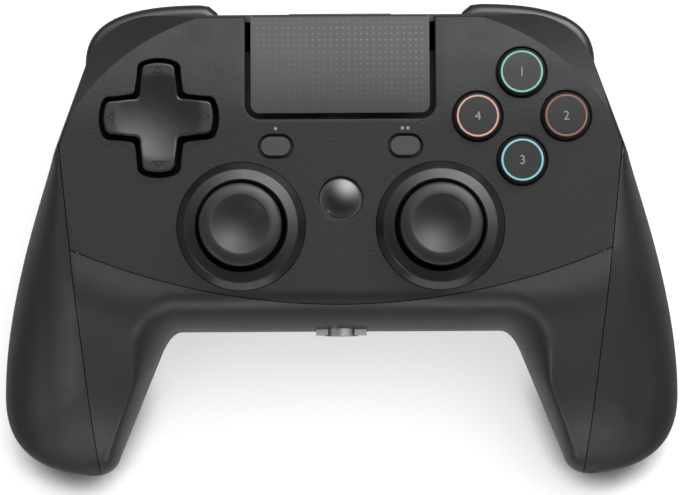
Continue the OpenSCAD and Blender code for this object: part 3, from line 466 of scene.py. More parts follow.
def belt_side(above):
    """Everything above or below the sloping seam that goes round the case."""
    half = block((-100, -100, seam/2 if above else -80), (100, 100, 80 if above else -seam/2))
    return moved(tipped(half, math.atan(belt_slope), "X"), 0, 0, belt_height)


def together(*shapes):
    """Several closed shapes as one drawing."""
    whole = bmesh.new()
    for bm in shapes:
        mesh = bpy.data.meshes.new("work")
        bm.to_mesh(mesh)
        bm.free()
        whole.from_mesh(mesh)
        bpy.data.meshes.remove(mesh)
    return whole


def both(bm):
    return together(mirrored(bm), bm)


def rounded(corners, radii, steps=8):
    """A plan with its corners rounded."""
    points = []
    corners = [Vector(c) for c in corners]
    for i, (corner, radius) in enumerate(zip(corners, radii)):
        to_last = (corners[i - 1] - corner).normalized()
        to_next = (corners[(i + 1) % len(corners)] - corner).normalized()
        half = to_last.angle(to_next)/2
        if not radius:
            points.append(corner)
            continue
        centre = corner + (to_last + to_next).normalized()*radius/math.sin(half)
        first = corner + to_last*radius/math.tan(half) - centre
        last = corner + to_next*radius/math.tan(half) - centre
        turn = first.angle_signed(last)
        for k in range(steps + 1):
            points.append(centre + Matrix.Rotation(-turn*k/steps, 2) @ first)
    return points


def cover_plan(grow=0.0):
    """Plan of the right grip cover, which runs forward from a step in the side."""
    y = cover_start[1] + grow
    return [(crest_x(cover_start[1]) - grow, y), (110, y), (110, -80), (crest_x(-80) - grow, -80)]


trigger_in, trigger_width, trigger_hinge = 35.4, 18.6, (42.0, 22.6)
bumper_in, bumper_top, bumper_drop, bumper_rear, bumper_end = 28.6, 34.0, 7.5, 55.5, 38.8
screw_spots = [(28, 40, 17), (36, -8, 15.9), (55.2, -45, 6)]


def bumper_bay():
    gap, travel = 0.3, 1.5
    plan = [(bumper_in - gap, 80), (bumper_in - gap, 47 - travel), (44.2, 47 - travel),
            (52 - gap, 42 - travel), (54.6 - gap, bumper_end - travel), (90, bumper_end - travel),
            (90, 80)]
    return prism(plan, bumper_top - bumper_drop - gap, bumper_top + gap)


def trigger_bay(grow, top):
    side = 1.8
    return block((trigger_in - side - grow, trigger_hinge[0] - 3.6 - grow, -10),
                 (trigger_in + trigger_width + side + grow, 76.4, top))


def post(x, y, low, high, radius, steps=32):
    return turned([(0, low), (radius, low), (radius, high), (0, high)], steps, centre=(x, y, 0))


def facet_tool():
    """What is taken off a rear corner to leave its long facet, outside a cone."""
    before, run, above = 2.0, 24.0, 20.0
    profile = [(facet_radius - before, face_height + before*facet_slope),
               (facet_radius + run, face_height - run*facet_slope),
               (facet_radius + run, face_height + above), (facet_radius - before, face_height + above)]
    return turned(profile, 96, math.radians(70), math.radians(20), (facet_centre, 0, 0))


case_satin = moulded("case_satin", (0.010, 0.0098, 0.0112), (0.019, 0.0186, 0.0212), 0.30, 0.40,
                     scale=5200.0, depth=0.000006)
outside = cut(case_form(5, between=64), both(facet_tool()))
hollow = case_form(2, wall, 8)
shell = boolean(outside, hollow)
fittings = both(together(trigger_bay(1.5, 20.8), *[post(x, y, -5, 40, 2.8) for x, y, _ in screw_spots],
                         post(40, 1, 5, 21, 2.4)))
fittings = boolean(fittings, case_form(2, 0.5, 8), "INTERSECT")
belly = boolean(boolean(shell.copy(), fittings, "UNION"), belt_side(False), "INTERSECT")
wells = [post(x, y, -10, seat, 2.2) for x, y, seat in screw_spots]
wells += [post(x, y, seat - 1, seat + 12, 1.3) for x, y, seat in screw_spots]
belly = cut(belly, both(prism(cover_plan(seam), -20, 80)), both(trigger_bay(0, 26)),
            both(bumper_bay()), block((-4.2, 40, 22.4), (4.2, 60, 25.8)),
            *[both(well) for well in wells])
piece("rear_shell_moulding", soften(belly, 0.15), case_satin, "case", "satin_plastic", "rear_shell")


# Works inside the case: boards, battery, switches, motors, stick units and springs. They sit on
# the lower moulding's posts and on the middle frame, and hardly show once the case is closed.
streak_effect, given, made = effect("drawn_streaks", {"Scale": 900.0, "Low": 0.2, "High": 0.4},
                                    ["Tone", "Roughness"])
at = node(streak_effect, "TexCoord").outputs["Object"]
drawn = node(streak_effect, "Mapping", {"Vector": at, "Scale": (0.06, 1.0, 1.0)})
streaks = node(streak_effect, "TexNoise", {
    "Vector": drawn.outputs[0], "Scale": given["Scale"], "Detail": 4.0})
streak_effect.links.new(streaks.outputs["Fac"], made["Tone"])
streak_effect.links.new(
    ranged(streak_effect, streaks.outputs["Fac"], 0.3, 0.7, given["Low"], given["High"]), made["Roughness"])


def metal(name, dark, light, low, high, scale=900.0):
    """Bare or plated metal with the fine streaks of drawing or stamping."""
    made, tree, base = shader(name)
    lines = place(tree, streak_effect, Scale=scale, Low=low, High=high)
    bump = node(tree, "Bump", {"Height": lines["Tone"], "Strength": 0.3, "Distance": 0.00001})
    surface(tree, base, blend(tree, lines["Tone"], dark, light), lines["Roughness"], bump.outputs["Normal"])
    base.inputs["Metallic"].default_value = 1.0
    return made


def board(name):
    """Green solder mask over copper tracks that run in straight lanes."""
    made, tree, base = shader(name)
    at = node(tree, "TexCoord").outputs["Object"]
    lanes = node(tree, "TexBrick", {
        "Vector": at, "Scale": 260.0, "Mortar Size": 0.05, "Color1": (0.006, 0.06, 0.026, 1),
        "Color2": (0.008, 0.075, 0.032, 1), "Mortar": (0.014, 0.13, 0.055, 1)})
    touch = place(tree, touch_effect, Low=0.25, High=0.4)
    bump = node(tree, "Bump", {"Height": lanes.outputs["Fac"], "Strength": 0.4, "Distance": 0.00003})
    surface(tree, base, lanes.outputs["Color"], touch["Roughness"], bump.outputs["Normal"])
    return made


def dress(material, *names):
    """Gives a solid that keeps its own shape a finished surface."""
    for name in names:
        solids[name].data.materials.clear()
        solids[name].data.materials.append(material)


sides = ("left", "right")
steel = metal("bright_steel", (0.42, 0.42, 0.43), (0.68, 0.68, 0.69), 0.18, 0.36)
zinc = metal("zinc_plate", (0.3, 0.3, 0.29), (0.5, 0.5, 0.48), 0.3, 0.5, 400.0)
nylon = moulded("white_nylon", (0.66, 0.66, 0.63), (0.78, 0.78, 0.76), 0.4, 0.55)
frame_plastic = moulded("frame_plastic", (0.03, 0.03, 0.032), (0.05, 0.05, 0.052), 0.45, 0.6)
silicone = moulded("key_silicone", (0.3, 0.3, 0.29), (0.4, 0.4, 0.38), 0.55, 0.7)
cell_wrap = moulded("cell_wrap", (0.02, 0.05, 0.16), (0.03, 0.07, 0.21), 0.2, 0.32, 400.0)
solder_mask = board("solder_mask")
dress(solder_mask, "main_board", "touchpad_board")
dress(cell_wrap, "battery")
dress(silicone, "dpad_membrane", "face_membrane")
dress(frame_plastic, "mid_frame", *[s + "_stick_sensors" for s in sides])
dress(nylon, "dpad_rocker", *[s + p for s in sides for p in ("_stick_cradle", "_stick_arch")])
dress(steel, "touchpad_switch", "menu_switches", "bumper_switches", "trigger_pins", "usb_socket",
      *[s + p for s in sides for p in ("_stick_lever", "_stick_frame", "_trigger_spring", "_motor")])
dress(zinc, "case_screws", *[s + p for s in sides for p in ("_trigger_bracket", "_motor_weight")])


# Face plate: the flat upper moulding that every control comes up through, black plastic with a
# coarse leather-like tool grain. Two screw bosses on each side hold it down on the belly.
stick_spot = (23.2, 2.7)
group_spot = (42.3, 28.1)
menu_spot = (15.1, 21.3)
home_y = 9.1
pad_front, pad_width, pad_gap = 29.05, 41.7, 1.3
key_spread = 10.3
key_spots = {
    name: (group_spot[0] + key_spread*dx, group_spot[1] + key_spread*dy)
    for name, dx, dy in (("north", 0, 1), ("east", 1, 0), ("south", 0, -1), ("west", -1, 0))
}


def cross_plan(grow, tip_radius, crotch=1.2):
    """Plan of the cross pad, or of the opening round it."""
    a, w = 3.8 + grow, 12.75 + grow
    corners = [(a, a), (a, w), (-a, w), (-a, a), (-w, a), (-w, -a),
               (-a, -a), (-a, -w), (a, -w), (a, -a), (w, -a), (w, a)]
    return rounded(corners, [crotch, tip_radius, tip_radius]*4)


def bowed(plan):
    """A cross plan with its tips bowed and its arms a little wider towards the middle."""
    arcs = [plan[k:k + 9] for k in range(0, len(plan), 9)]
    points = []
    for arc, following in zip(arcs, arcs[1:] + arcs[:1]):
        points += arc + [arc[-1].lerp(following[0], k/12) for k in range(1, 12)]
    points = np.array(points)
    away = np.abs(points)
    other = away[:, ::-1]
    wider = 1 + 0.15*(1 - ease((other - 3.8)/9))*(1 - ease((away - 3.8)/5))
    bow = 0.7*np.minimum(other/3.8, 1)**2*ease((away - 6)/6)
    return points*wider - np.sign(points)*bow


def pill_plan(grow=0.0):
    l, w = (6.8 + grow)/2, (4.4 + grow)/2
    return rounded([(l, w), (-l, w), (-l, -w), (l, -w)], [w*0.999]*4, 16)


def stacked(rings):
    """A closed skin through matching rings of points."""
    bm = bmesh.new()
    loops = [[bm.verts.new(p) for p in ring] for ring in rings]
    for low, high in zip(loops, loops[1:]):
        for i in range(len(low)):
            j = (i + 1) % len(low)
            bm.faces.new((low[i], low[j], high[j], high[i]))
    bm.faces.new(loops[0][::-1])
    bm.faces.new(loops[-1])
    bmesh.ops.recalc_face_normals(bm, faces=bm.faces)
    return bm


def flared(outline, low, edge, steps=5):
    """An opening's cutter over a plan that grows, with the opening's upper edge rounded."""
    rings = [[(x, y, low) for x, y in outline(0)]]
    for a in np.linspace(0, math.pi/2, steps):
        height = face_height - edge*(1 - math.sin(a))
        rings.append([(x, y, height) for x, y in outline(edge*(1 - math.cos(a)))])
    rings.append([(x, y, 60) for x, y in outline(edge)])
    return stacked(rings)


def round_plan(radius, steps=64):
    angles = [math.tau*k/steps for k in range(steps)]
    return lambda grow: [((radius + grow)*math.cos(a), (radius + grow)*math.sin(a)) for a in angles]


across = [crest_x(-4)*i/60 + i/60 for i in range(-60, 61)]
plate_plan = [(x, seam_y(x)) for x in across] + [(100, 6), (100, 80), (-100, 80), (-100, 6)]
floor_room = block((-33, wall - case_front + 0.05, 0), (33, 30, belly_height + wall + 0.1))
upper = cut(boolean(shell, belt_side(True), "INTERSECT"), floor_room)
plate = boolean(upper.copy(), prism(plate_plan, -10, 80), "INTERSECT")


def pad_hole(grow):
    side, front = pad_width/2 + pad_gap + grow, pad_front - pad_gap - grow
    corners = [(-side, front), (side, front), (side, 80), (-side, 80)]
    return rounded(corners, [3.3 + grow, 3.3 + grow, 1, 1], 12)


cross_spot = (-group_spot[0], group_spot[1])
openings = [
    both(prism(cover_plan(seam), -20, 80)),
    flared(pad_hole, 36.4, 0.35),
    moved(flared(lambda grow: bowed(cross_plan(1.15 + grow, 1.6 + grow)), 33, 0.3), *cross_spot),
    together(*[moved(flared(round_plan(5.9), 33, 0.3), x, y) for x, y in key_spots.values()]),
    together(*[post(x, y, 33, 38, 6.9, 64) for x, y in key_spots.values()]),
    both(moved(flared(lambda grow: pill_plan(1.2 + 2*grow), 33, 0.3), *menu_spot)),
    moved(flared(round_plan(5.0), 33, 0.4), 0, home_y),
    both(post(*stick_spot, 33, 60, 12.5, 96)),
    both(post(*stick_spot, 39, 60, 15.1, 96)),
    both(bumper_bay()),
    block((-12.2, 40, 30.1), (12.2, 60, 33.9)),
]
plate = cut(plate, *openings)
face_grain = moulded("face_grain", (0.006, 0.006, 0.0063), (0.012, 0.012, 0.0125), 0.40, 0.52,
                     scale=1700.0, depth=0.00008, form=crown_effect, specular=0.33)
piece("face_plate_moulding", plate, face_grain, "case", "grained_plastic", "face_plate")


# Front shell: the smooth moulding ahead of the curved seam, with the inner sides of the grips.
# Black plastic, satin, slightly violet where the light skims it.
front_plan = [(90*i/80, seam_y(90*i/80) - seam) for i in range(-80, 81)] + [(90, -80), (-90, -80)]
front = boolean(upper.copy(), prism(front_plan, -10, 80), "INTERSECT")
jack_height = 19.4


def bar(radius, half, steps, axis):
    """A round bar that lies across the axis it is tipped about."""
    return tipped(turned([(0, -half), (radius, -half), (radius, half), (0, half)], steps), math.pi/2, axis)


front = cut(front, both(prism(cover_plan(seam), -20, 80)), moved(bar(4.2, 8, 48, "X"), 0, -23, jack_height),
            block((-6.2, -27, jack_height - 2.6), (6.2, -18, jack_height + 2.6)))
front_satin = moulded("front_satin", (0.010, 0.0097, 0.0113), (0.019, 0.0184, 0.0214), 0.30, 0.40,
                      scale=5200.0, depth=0.000006, form=valley_effect)
piece("front_shell_moulding", front, front_satin, "case", "satin_plastic", "front_shell")


# Grip covers: the outer flanks of the grips, moulded with a soft-touch skin and clipped on. Each
# meets the front shell along the crest of its grip.
grip_soft = moulded("grip_soft", (0.008, 0.0078, 0.0086), (0.014, 0.0137, 0.015), 0.36, 0.46,
                    scale=6000.0, depth=0.000006)
cover = boolean(cut(case_form(5, between=64), case_form(2, wall, 8)), prism(cover_plan(), -20, 80),
                "INTERSECT")
piece("left_grip_skin", mirrored(cover), grip_soft, "case", "grip_rubber", "left_grip_cover")
piece("right_grip_skin", cover, grip_soft, "case", "grip_rubber", "right_grip_cover")


# Touchpad: a smoked plate that clicks about a rod under its rear edge, printed with a fine grid of
# pale dots. Its sensing board is glued below it.
pad_top, pad_thick, pad_rear = 40.4, 1.8, 52.2
pad_hinge = (46.5, 36.4)


def dotted(name):
    """Smoked plastic under a print of pale dots, drawn brighter towards the rear and the right as a painted
    highlight where the light falls, and fading towards the front and the left.
    """
    made, tree, base = shader(name)
    at = node(tree, "TexCoord").outputs["Object"]
    pitch = 0.00142
    cell = vectors(tree, "FRACTION", vectors(tree, "MULTIPLY", at, (1/pitch, 1/pitch, 0)))
    away = vectors(tree, "DISTANCE", cell, (0.5, 0.5, 0))
    dot = ranged(tree, away, 0.07, 0.2, 1.0, 0.0, "SMOOTHSTEP")
    # Painted highlight: the dots are drawn brighter towards the rear and the right, where the light falls.
    reach = vectors(tree, "DOT_PRODUCT", at, (0.35, 1.0, 0))
    painted_light_fade = ranged(tree, reach, 0.028, 0.055, 0.04, 0.3, "SMOOTHSTEP")
    share = vectors(tree, "MULTIPLY", vectors(tree, "ADD", at, (0, -0.0403, 0)), (51.0, 99.0, 0))
    edge = node(tree, "SeparateXYZ", {0: vectors(tree, "ABSOLUTE", share)}).outputs
    within = maths(tree, "LESS_THAN", maths(tree, "MAXIMUM", edge["X"], edge["Y"]), 1.0)
    shown = maths(tree, "MULTIPLY", dot, maths(tree, "MULTIPLY", painted_light_fade, within))
    grain = place(tree, grain_effect, Scale=3000.0)
    ground = blend(tree, grain["Tone"], (0.013, 0.0123, 0.0114), (0.022, 0.0208, 0.0193))
    touch = place(tree, touch_effect, Low=0.3, High=0.33)
    curve = node(tree, "Bump", {"Height": place(tree, crown_effect)["Height"], "Distance": 1.0})
    bump = node(tree, "Bump", {"Height": shown, "Strength": 0.5, "Distance": 0.00002,
                               "Normal": curve.outputs["Normal"]})
    surface(tree, base, blend(tree, shown, ground, (0.32, 0.3, 0.27)), touch["Roughness"],
            bump.outputs["Normal"])
    base.inputs["Specular IOR Level"].default_value = 0.4
    return made


half_pad = pad_width/2
pad_plan = rounded([(-half_pad, pad_front), (half_pad, pad_front), (half_pad, pad_rear),
                    (-half_pad, pad_rear)], [2, 2, 0.8, 0.8])
pad = prism(pad_plan, pad_top - pad_thick, pad_top)
rear_edge = [e for e in pad.edges
             if all(v.co.z > pad_top - 0.1 and v.co.y > pad_rear - 0.1 for v in e.verts)]
pad = soften(round_edges(pad, rear_edge, 0.9, 3), 0.3, segments=3)
lip = block((1 - half_pad, pad_rear - 1.4, pad_hinge[1] + 0.6),
            (half_pad - 1, pad_rear - 0.1, pad_top - pad_thick + 0.6))
ribs = [block((x - 3, pad_hinge[0] - 0.7, pad_hinge[1]),
              (x + 3, pad_hinge[0] + 0.7, pad_top - pad_thick + 0.2)) for x in (-10, 0, 10)]
rod = moved(bar(1, half_pad - 1.8, 32, "Y"), 0, *pad_hinge)
piece("touchpad_plate", together(pad, lip, *ribs, rod), dotted("dotted_print"),
      "touchpad", "pad_plastic", "touchpad")


# Cross pad: one black moulding with a round dish and four raised tips, each with an arrow let into
# it. It rocks on a nylon rocker above its rubber membrane.
tip_top, dish_radius, dish_depth, tip_round = 42.4, 9.7, 1.5, 0.45
dish_ball = (dish_radius**2 + dish_depth**2)/(2*dish_depth)


def cross_ring(inset):
    """Outline of the cross pad drawn in, with matching points along its straight sides."""
    return bowed(cross_plan(-inset, max(1.1 - inset, 0.25*(3.8 - inset))))


def cross_height(plan, inset):
    away = np.hypot(plan[:, 0], plan[:, 1])
    dish = tip_top - dish_depth + dish_ball - np.sqrt(dish_ball**2 - away**2)
    return soft_least(dish, tip_top, 0.3) - tip_round*(1 - round_over(inset, tip_round))


insets = np.concatenate([tip_round*(1 - np.cos(np.linspace(0, math.pi/2, 7))), np.linspace(0.7, 3.79, 12)])
skin = [np.column_stack([cross_ring(0), np.full(240, 35.5)])]
for inset in insets:
    ring = cross_ring(inset)
    skin.append(np.column_stack([ring, cross_height(ring, inset)]))
upper_cross = stacked(skin)
bmesh.ops.remove_doubles(upper_cross, verts=upper_cross.verts, dist=0.03)
lower_cross = boolean(prism(cross_plan(0, 1.1), 32.6, 36), prism(cross_plan(2.15, 1), 34.4, 35.9), "UNION")
lower_cross = boolean(cut(lower_cross, block((-7, -7, 30), (7, 7, 34.2))),
                      block((-2.9, -3.2, 33.6), (2.9, 3.2, 36)), "UNION")
lower_cross = cut(lower_cross, moved(bar(1.65, 3.6, 48, "X"), 0, 0, 34))
for turn in range(4):
    outer = [(10.2, -1.5), (11.9, 0), (10.2, 1.5)]
    inner = [(10.5, -0.82), (11.4, 0), (10.5, 0.82)]
    arrow = boolean(prism(outer, tip_top - 0.4, 50), prism(inner, 30, 60))
    upper_cross = cut(upper_cross, tipped(arrow, turn*math.pi/2, "Z"))
key_satin = moulded("key_satin", (0.006, 0.006, 0.0063), (0.011, 0.011, 0.0114), 0.28, 0.36,
                    scale=5200.0, depth=0.000006)
# Painted shade: the flange, part of the same moulding as the pad, is drawn near black and matt so the deep
# gap round the pad reads dark.
flange_painted_shade = moulded("flange_painted_shade", (0.0015, 0.0015, 0.0016), (0.003, 0.003, 0.0031), 0.7, 0.85,
                      scale=5200.0, specular=0.15)
piece("cross_pad", moved(upper_cross, *cross_spot), key_satin, "dpad", "key_plastic", "dpad")
piece("cross_pad_flange", moved(lower_cross, *cross_spot), flange_painted_shade, "dpad", "key_plastic")


# Face buttons: black caps with a coloured ring let into the top and a plain printed numeral; each ring is
# drawn paler along its middle, a painted highlight. A flange under the plate keeps each one in, over one
# rubber membrane.
key_radius, key_top, key_low = 5.6, 41.9, 33.5
ring_outer, ring_width, ring_depth = 4.95, 0.55, 0.6
ring_inner = ring_outer - ring_width


def tinted(name, rim, painted_highlight_tone, spot):
    """Coloured clear plastic ring with a painted highlight: paler along its middle, as the shine on a
    rounded bead, with a soft mottled tint.
    """
    made, tree, base = shader(name)
    at = node(tree, "TexCoord").outputs["Object"]
    away = vectors(tree, "DISTANCE", vectors(tree, "MULTIPLY", at, (1000, 1000, 0)), (*spot, 0))
    aside = maths(tree, "ABSOLUTE", maths(tree, "SUBTRACT", away, (ring_outer + ring_inner)/2))
    # Painted highlight: the band along the ring's middle is drawn towards the paler tone.
    middle = ranged(tree, aside, 0.05, 0.3, 1.0, 0.0, "SMOOTHSTEP")
    grain = place(tree, grain_effect, Scale=900.0)
    touch = place(tree, touch_effect, Low=0.3, High=0.42)
    pale = maths(tree, "MULTIPLY", middle, ranged(tree, grain["Tone"], 0.0, 1.0, 0.7, 1.0))
    tree.links.new(blend(tree, pale, rim, painted_highlight_tone), base.inputs["Base Color"])
    tree.links.new(touch["Roughness"], base.inputs["Roughness"])
    return made


# Each ring: its slot, its rim colour and the paler tone of the painted highlight along its middle.
ring_tints = {
    "north": ("ring_green", (0.03, 0.26, 0.2), (0.25, 0.45, 0.39)),
    "east": ("ring_red", (0.15, 0.05, 0.03), (0.21, 0.1, 0.075)),
    "south": ("ring_cyan", (0.015, 0.25, 0.33), (0.26, 0.51, 0.56)),
    "west": ("ring_salmon", (0.32, 0.11, 0.05), (0.5, 0.33, 0.27)),
}
cap_plastic = moulded("cap_plastic", (0.011, 0.011, 0.0114), (0.018, 0.018, 0.0186), 0.38, 0.5,
                      scale=3600.0, depth=0.00001, form=crown_effect, specular=0.32)
print_white = moulded("print_white", (0.17, 0.17, 0.18), (0.23, 0.23, 0.24), 0.5, 0.6, 3000.0)
cap_profile = [
    (0, key_low), (key_radius, key_low), (key_radius, 36.2), (key_radius + 1, 36.2),
    (key_radius + 1, 37.7), (key_radius, 37.7),
]
cap_profile += [(key_radius, key_top - 1.3)]
cap_profile += [(ring_outer + 0.25*math.cos(a), key_top - 0.4 + 0.4*math.sin(a))
                for a in np.linspace(0.35, math.pi/2, 7)]
cap_profile += [(ring_outer, key_top - ring_depth),
                (ring_inner, key_top - ring_depth), (ring_inner, key_top), (0, key_top)]
ring_profile = [(ring_inner, key_top - ring_depth), (ring_outer, key_top - ring_depth),
                (ring_outer, key_top - 0.08), (ring_outer - 0.12, key_top),
                (ring_inner + 0.12, key_top), (ring_inner, key_top - 0.08),
                (ring_inner, key_top - ring_depth)]


def printed(name, words, size, place_at, height):
    """A printed character as a thin mesh that stands on a surface."""
    curve = bpy.data.curves.new(name, "FONT")
    curve.body = words
    curve.size = size
    curve.align_x = "CENTER"
    curve.align_y = "CENTER"
    curve.extrude = 0.015
    maker = bpy.data.objects.new(name, curve)
    bpy.context.scene.collection.objects.link(maker)
    bm = bmesh.new()
    bm.from_mesh(maker.evaluated_get(bpy.context.evaluated_depsgraph_get()).to_mesh())
    bpy.data.curves.remove(curve)
    bmesh.ops.remove_doubles(bm, verts=bm.verts, dist=0.001)
    low = min(v.co.y for v in bm.verts)
    high = max(v.co.y for v in bm.verts)
    left = min(v.co.x for v in bm.verts)
    right = max(v.co.x for v in bm.verts)
    return moved(bm, place_at[0] - (left + right)/2, place_at[1] - (low + high)/2, height + 0.016)


for number, (name, spot) in enumerate(key_spots.items(), 1):
    piece(name + "_cap", moved(turned(cap_profile), *spot), cap_plastic, name + "_key", "key_plastic",
          name + "_button")
    piece(name + "_colour_ring", moved(turned(ring_profile), *spot), tinted(*ring_tints[name], spot),
          name + "_key", ring_tints[name][0], name + "_ring")
    piece(name + "_numeral", printed(name + "_numeral", str(number), 3.0, spot, key_top), print_white,
          name + "_key", "key_plastic")


# Small buttons: two satin pills and a round glossy home button with a faint house on its dome.
# Each presses its own switch on the middle frame. Dots beside the pills tell them apart.
pill_satin = moulded("pill_satin", (0.02, 0.02, 0.022), (0.034, 0.034, 0.037), 0.36, 0.46, 4000.0)
pill = soften(prism(pill_plan(), 37.6, 40.8), 0.5, segments=4)
pill = boolean(pill, prism(pill_plan(2.4), 36.2, 37.7), "UNION")
pill = moved(boolean(pill, post(0, 0, 33.8, 36.8, 1.6), "UNION"), *menu_spot)
piece("left_menu_pill", mirrored(pill), pill_satin, "left_menu_key", "key_plastic", "left_menu_button")
piece("right_menu_pill", pill, pill_satin, "right_menu_key", "key_plastic", "right_menu_button")
for side, sign, count in (("left", -1, 1), ("right", 1, 2)):
    row = [post(sign*menu_spot[0] + 1.3*(k - (count - 1)/2), menu_spot[1] + 4.2, 39.99, 40.015, 0.38)
           for k in range(count)]
    piece(side + "_menu_dots", together(*row), print_white, "case", "grained_plastic")

home_radius, home_rim, home_crown = 4.4, 40.4, 0.9
home_ball = (home_radius**2 + home_crown**2)/(2*home_crown)


def home_height(r):
    return home_rim + home_crown - home_ball + np.sqrt(home_ball**2 - r*r)


dome = [(0, 33.8), (2.4, 33.8), (2.4, 36.2), (5.6, 36.2), (5.6, 37.7), (home_radius, 37.7)]
dome += [(r, home_height(r)) for r in home_radius*(1 - np.linspace(0, 1, 20))]
gloss_black = moulded("gloss_black", (0.003, 0.003, 0.0031), (0.005, 0.005, 0.0052), 0.12, 0.18,
                      6000.0, 0.000001, specular=1.0)
piece("home_dome", moved(turned(dome), 0, home_y), gloss_black, "home_key", "gloss_black", "home_button")
house = [(-0.8, -1.0), (0.8, -1.0), (0.8, 0.25), (1.25, 0.25), (0, 1.35), (-1.25, 0.25), (-0.8, 0.25)]
mark = bmesh.new()
outline = mark.faces.new([mark.verts.new((x, y, 0)) for x, y in house])
bmesh.ops.inset_region(mark, faces=[outline], thickness=0.2, use_even_offset=True, use_boundary=True)
bmesh.ops.delete(mark, geom=[outline], context="FACES_ONLY")
bmesh.ops.subdivide_edges(mark, edges=mark.edges, cuts=3, use_grid_fill=True)
for v in mark.verts:
    v.co.z = home_height(math.hypot(v.co.x, v.co.y)) - 0.01
bmesh.ops.solidify(mark, geom=mark.faces, thickness=-0.03)
bmesh.ops.recalc_face_normals(mark, faces=mark.faces)
print_grey = moulded("print_grey", (0.03, 0.03, 0.031), (0.05, 0.05, 0.052), 0.3, 0.4, 3000.0)
piece("home_pictogram", moved(mark, 0, home_y), print_grey, "home_key", "gloss_black")


# Thumb sticks: a rubber-skinned cap with a dished top on a stem, and a thin dome below it that
# closes the opening at any tilt. A black ring, pressed into the face plate, guards each one.
pivot_height = 27.5
cap_radius, cap_top, cap_dish, cap_dip, cap_drop = 9.6, 49.5 - pivot_height, 6.6, 1.5, 1.1
skirt_outer, skirt_thick, skirt_reach = 13.0, 1.0, math.radians(53)
dish_round = (cap_dish**2 + cap_dip**2)/(2*cap_dip)
radii = np.concatenate([np.linspace(0, cap_dish - 1, 12), np.linspace(cap_dish - 0.9, cap_dish + 0.9, 15),
                        cap_dish + (cap_radius - cap_dish)*np.sin(np.linspace(0.36, math.pi/2, 14))])
beyond = np.clip((radii - cap_dish)/(cap_radius - cap_dish), 0, 1)
dish_line = cap_top - cap_dip + dish_round - np.sqrt(dish_round**2 - radii**2)
rim_line = cap_top - cap_drop*(1 - np.sqrt(1 - beyond**2))
stick_profile = list(zip(radii, soft_least(dish_line, rim_line, 0.2)))
stick_profile += [(cap_radius, cap_top - 2.5), (cap_radius - 0.15, cap_top - 2.9),
                  (cap_radius - 0.6, cap_top - 3.2), (4.6, cap_top - 3.6), (3.9, cap_top - 4.1),
                  (3.7, cap_top - 5)]
skirt_start = math.asin(3.7/skirt_outer)
stick_profile += [(skirt_outer*math.sin(a), skirt_outer*math.cos(a))
                  for a in np.linspace(skirt_start, skirt_reach, 16)]
skirt_inner = skirt_outer - skirt_thick
bore = 1.65
stick_profile += [(skirt_inner*math.sin(a), skirt_inner*math.cos(a))
                  for a in np.linspace(skirt_reach, math.asin(bore/skirt_inner), 16)]
stick_profile += [(bore, 15.6), (0, 15.6)]
ring_lip, guard_foot, guard_seat = 10.45, 36.0, face_height - 1
guard_top = face_height + 2.4
guard_profile = [
    (ring_lip, guard_foot), (12.4, guard_foot), (12.4, guard_seat), (15, guard_seat),
    (15, face_height + 0.1), (13.5, guard_top - 0.9), (13.2, guard_top - 0.6),
    (ring_lip + 0.4, guard_top), (ring_lip, guard_top - 0.3), (ring_lip, guard_foot),
]
stick_rubber = moulded("stick_rubber", (0.008, 0.008, 0.0081), (0.014, 0.014, 0.0142), 0.30, 0.42,
                       scale=4200.0, depth=0.00001, specular=0.43)
guard_satin = moulded("guard_satin", (0.004, 0.004, 0.0041), (0.008, 0.008, 0.0082), 0.26, 0.34,
                      scale=4200.0, depth=0.000008)
for side, sign in (("left", -1), ("right", 1)):
    spot = (sign*stick_spot[0], stick_spot[1])
    piece(side + "_stick_grip", moved(turned(stick_profile, 128), *spot, pivot_height), stick_rubber,
          side + "_stick_cap", "cap_rubber", side + "_stick_cap")
    guard = soften(turned(guard_profile, 128), 0.2, 20, 3)
    piece(side + "_stick_guard", moved(guard, *spot), guard_satin, "case", "gloss_black",
          side + "_stick_ring")


# Bumpers: glossy bars that wrap round the rear corners and press straight in on their switches.
# One moulding each, with well-rounded edges that catch the light.
corner = np.linspace(0, 1, 41)[:, None]
pulls = np.array([(33, bumper_rear), (57.5, bumper_rear), (60.8, bumper_rear - 7.5), (59.8, bumper_end)])
bumper_curve = ((1 - corner)**3*pulls[0] + 3*corner*(1 - corner)**2*pulls[1]
                + 3*corner**2*(1 - corner)*pulls[2] + corner**3*pulls[3])
bumper_plan = rounded([(bumper_in, 47), (bumper_in, 53.4), (30.8, bumper_rear - 0.3)], [0, 1.5, 0])
bumper_plan += [tuple(p) for p in bumper_curve]
bumper_plan += [(55, bumper_end), (52.4, 42), (44.5, 47)]
bumper = prism(bumper_plan, bumper_top - bumper_drop, bumper_top)
crest = [e for e in bumper.edges
         if all(v.co.z > bumper_top - 0.1 and (v.co.y > 50 or v.co.x > 56) for v in e.verts)]
bumper = soften(round_edges(bumper, crest, 2.4, 8), 0.5, 35, 3)
nub = block((bumper_in + 3.4, 46, bumper_top - 3.6), (bumper_in + 6.8, 48, bumper_top - 1.2))
bumper = boolean(bumper, nub, "UNION")
bumper_gloss = moulded("bumper_gloss", (0.009, 0.009, 0.0095), (0.015, 0.015, 0.0158), 0.2, 0.3,
                       scale=6000.0, depth=0.000004)
piece("left_bumper_bar", mirrored(bumper), bumper_gloss, "left_bumper", "gloss_black", "left_bumper")
piece("right_bumper_bar", bumper, bumper_gloss, "right_bumper", "gloss_black", "right_bumper")


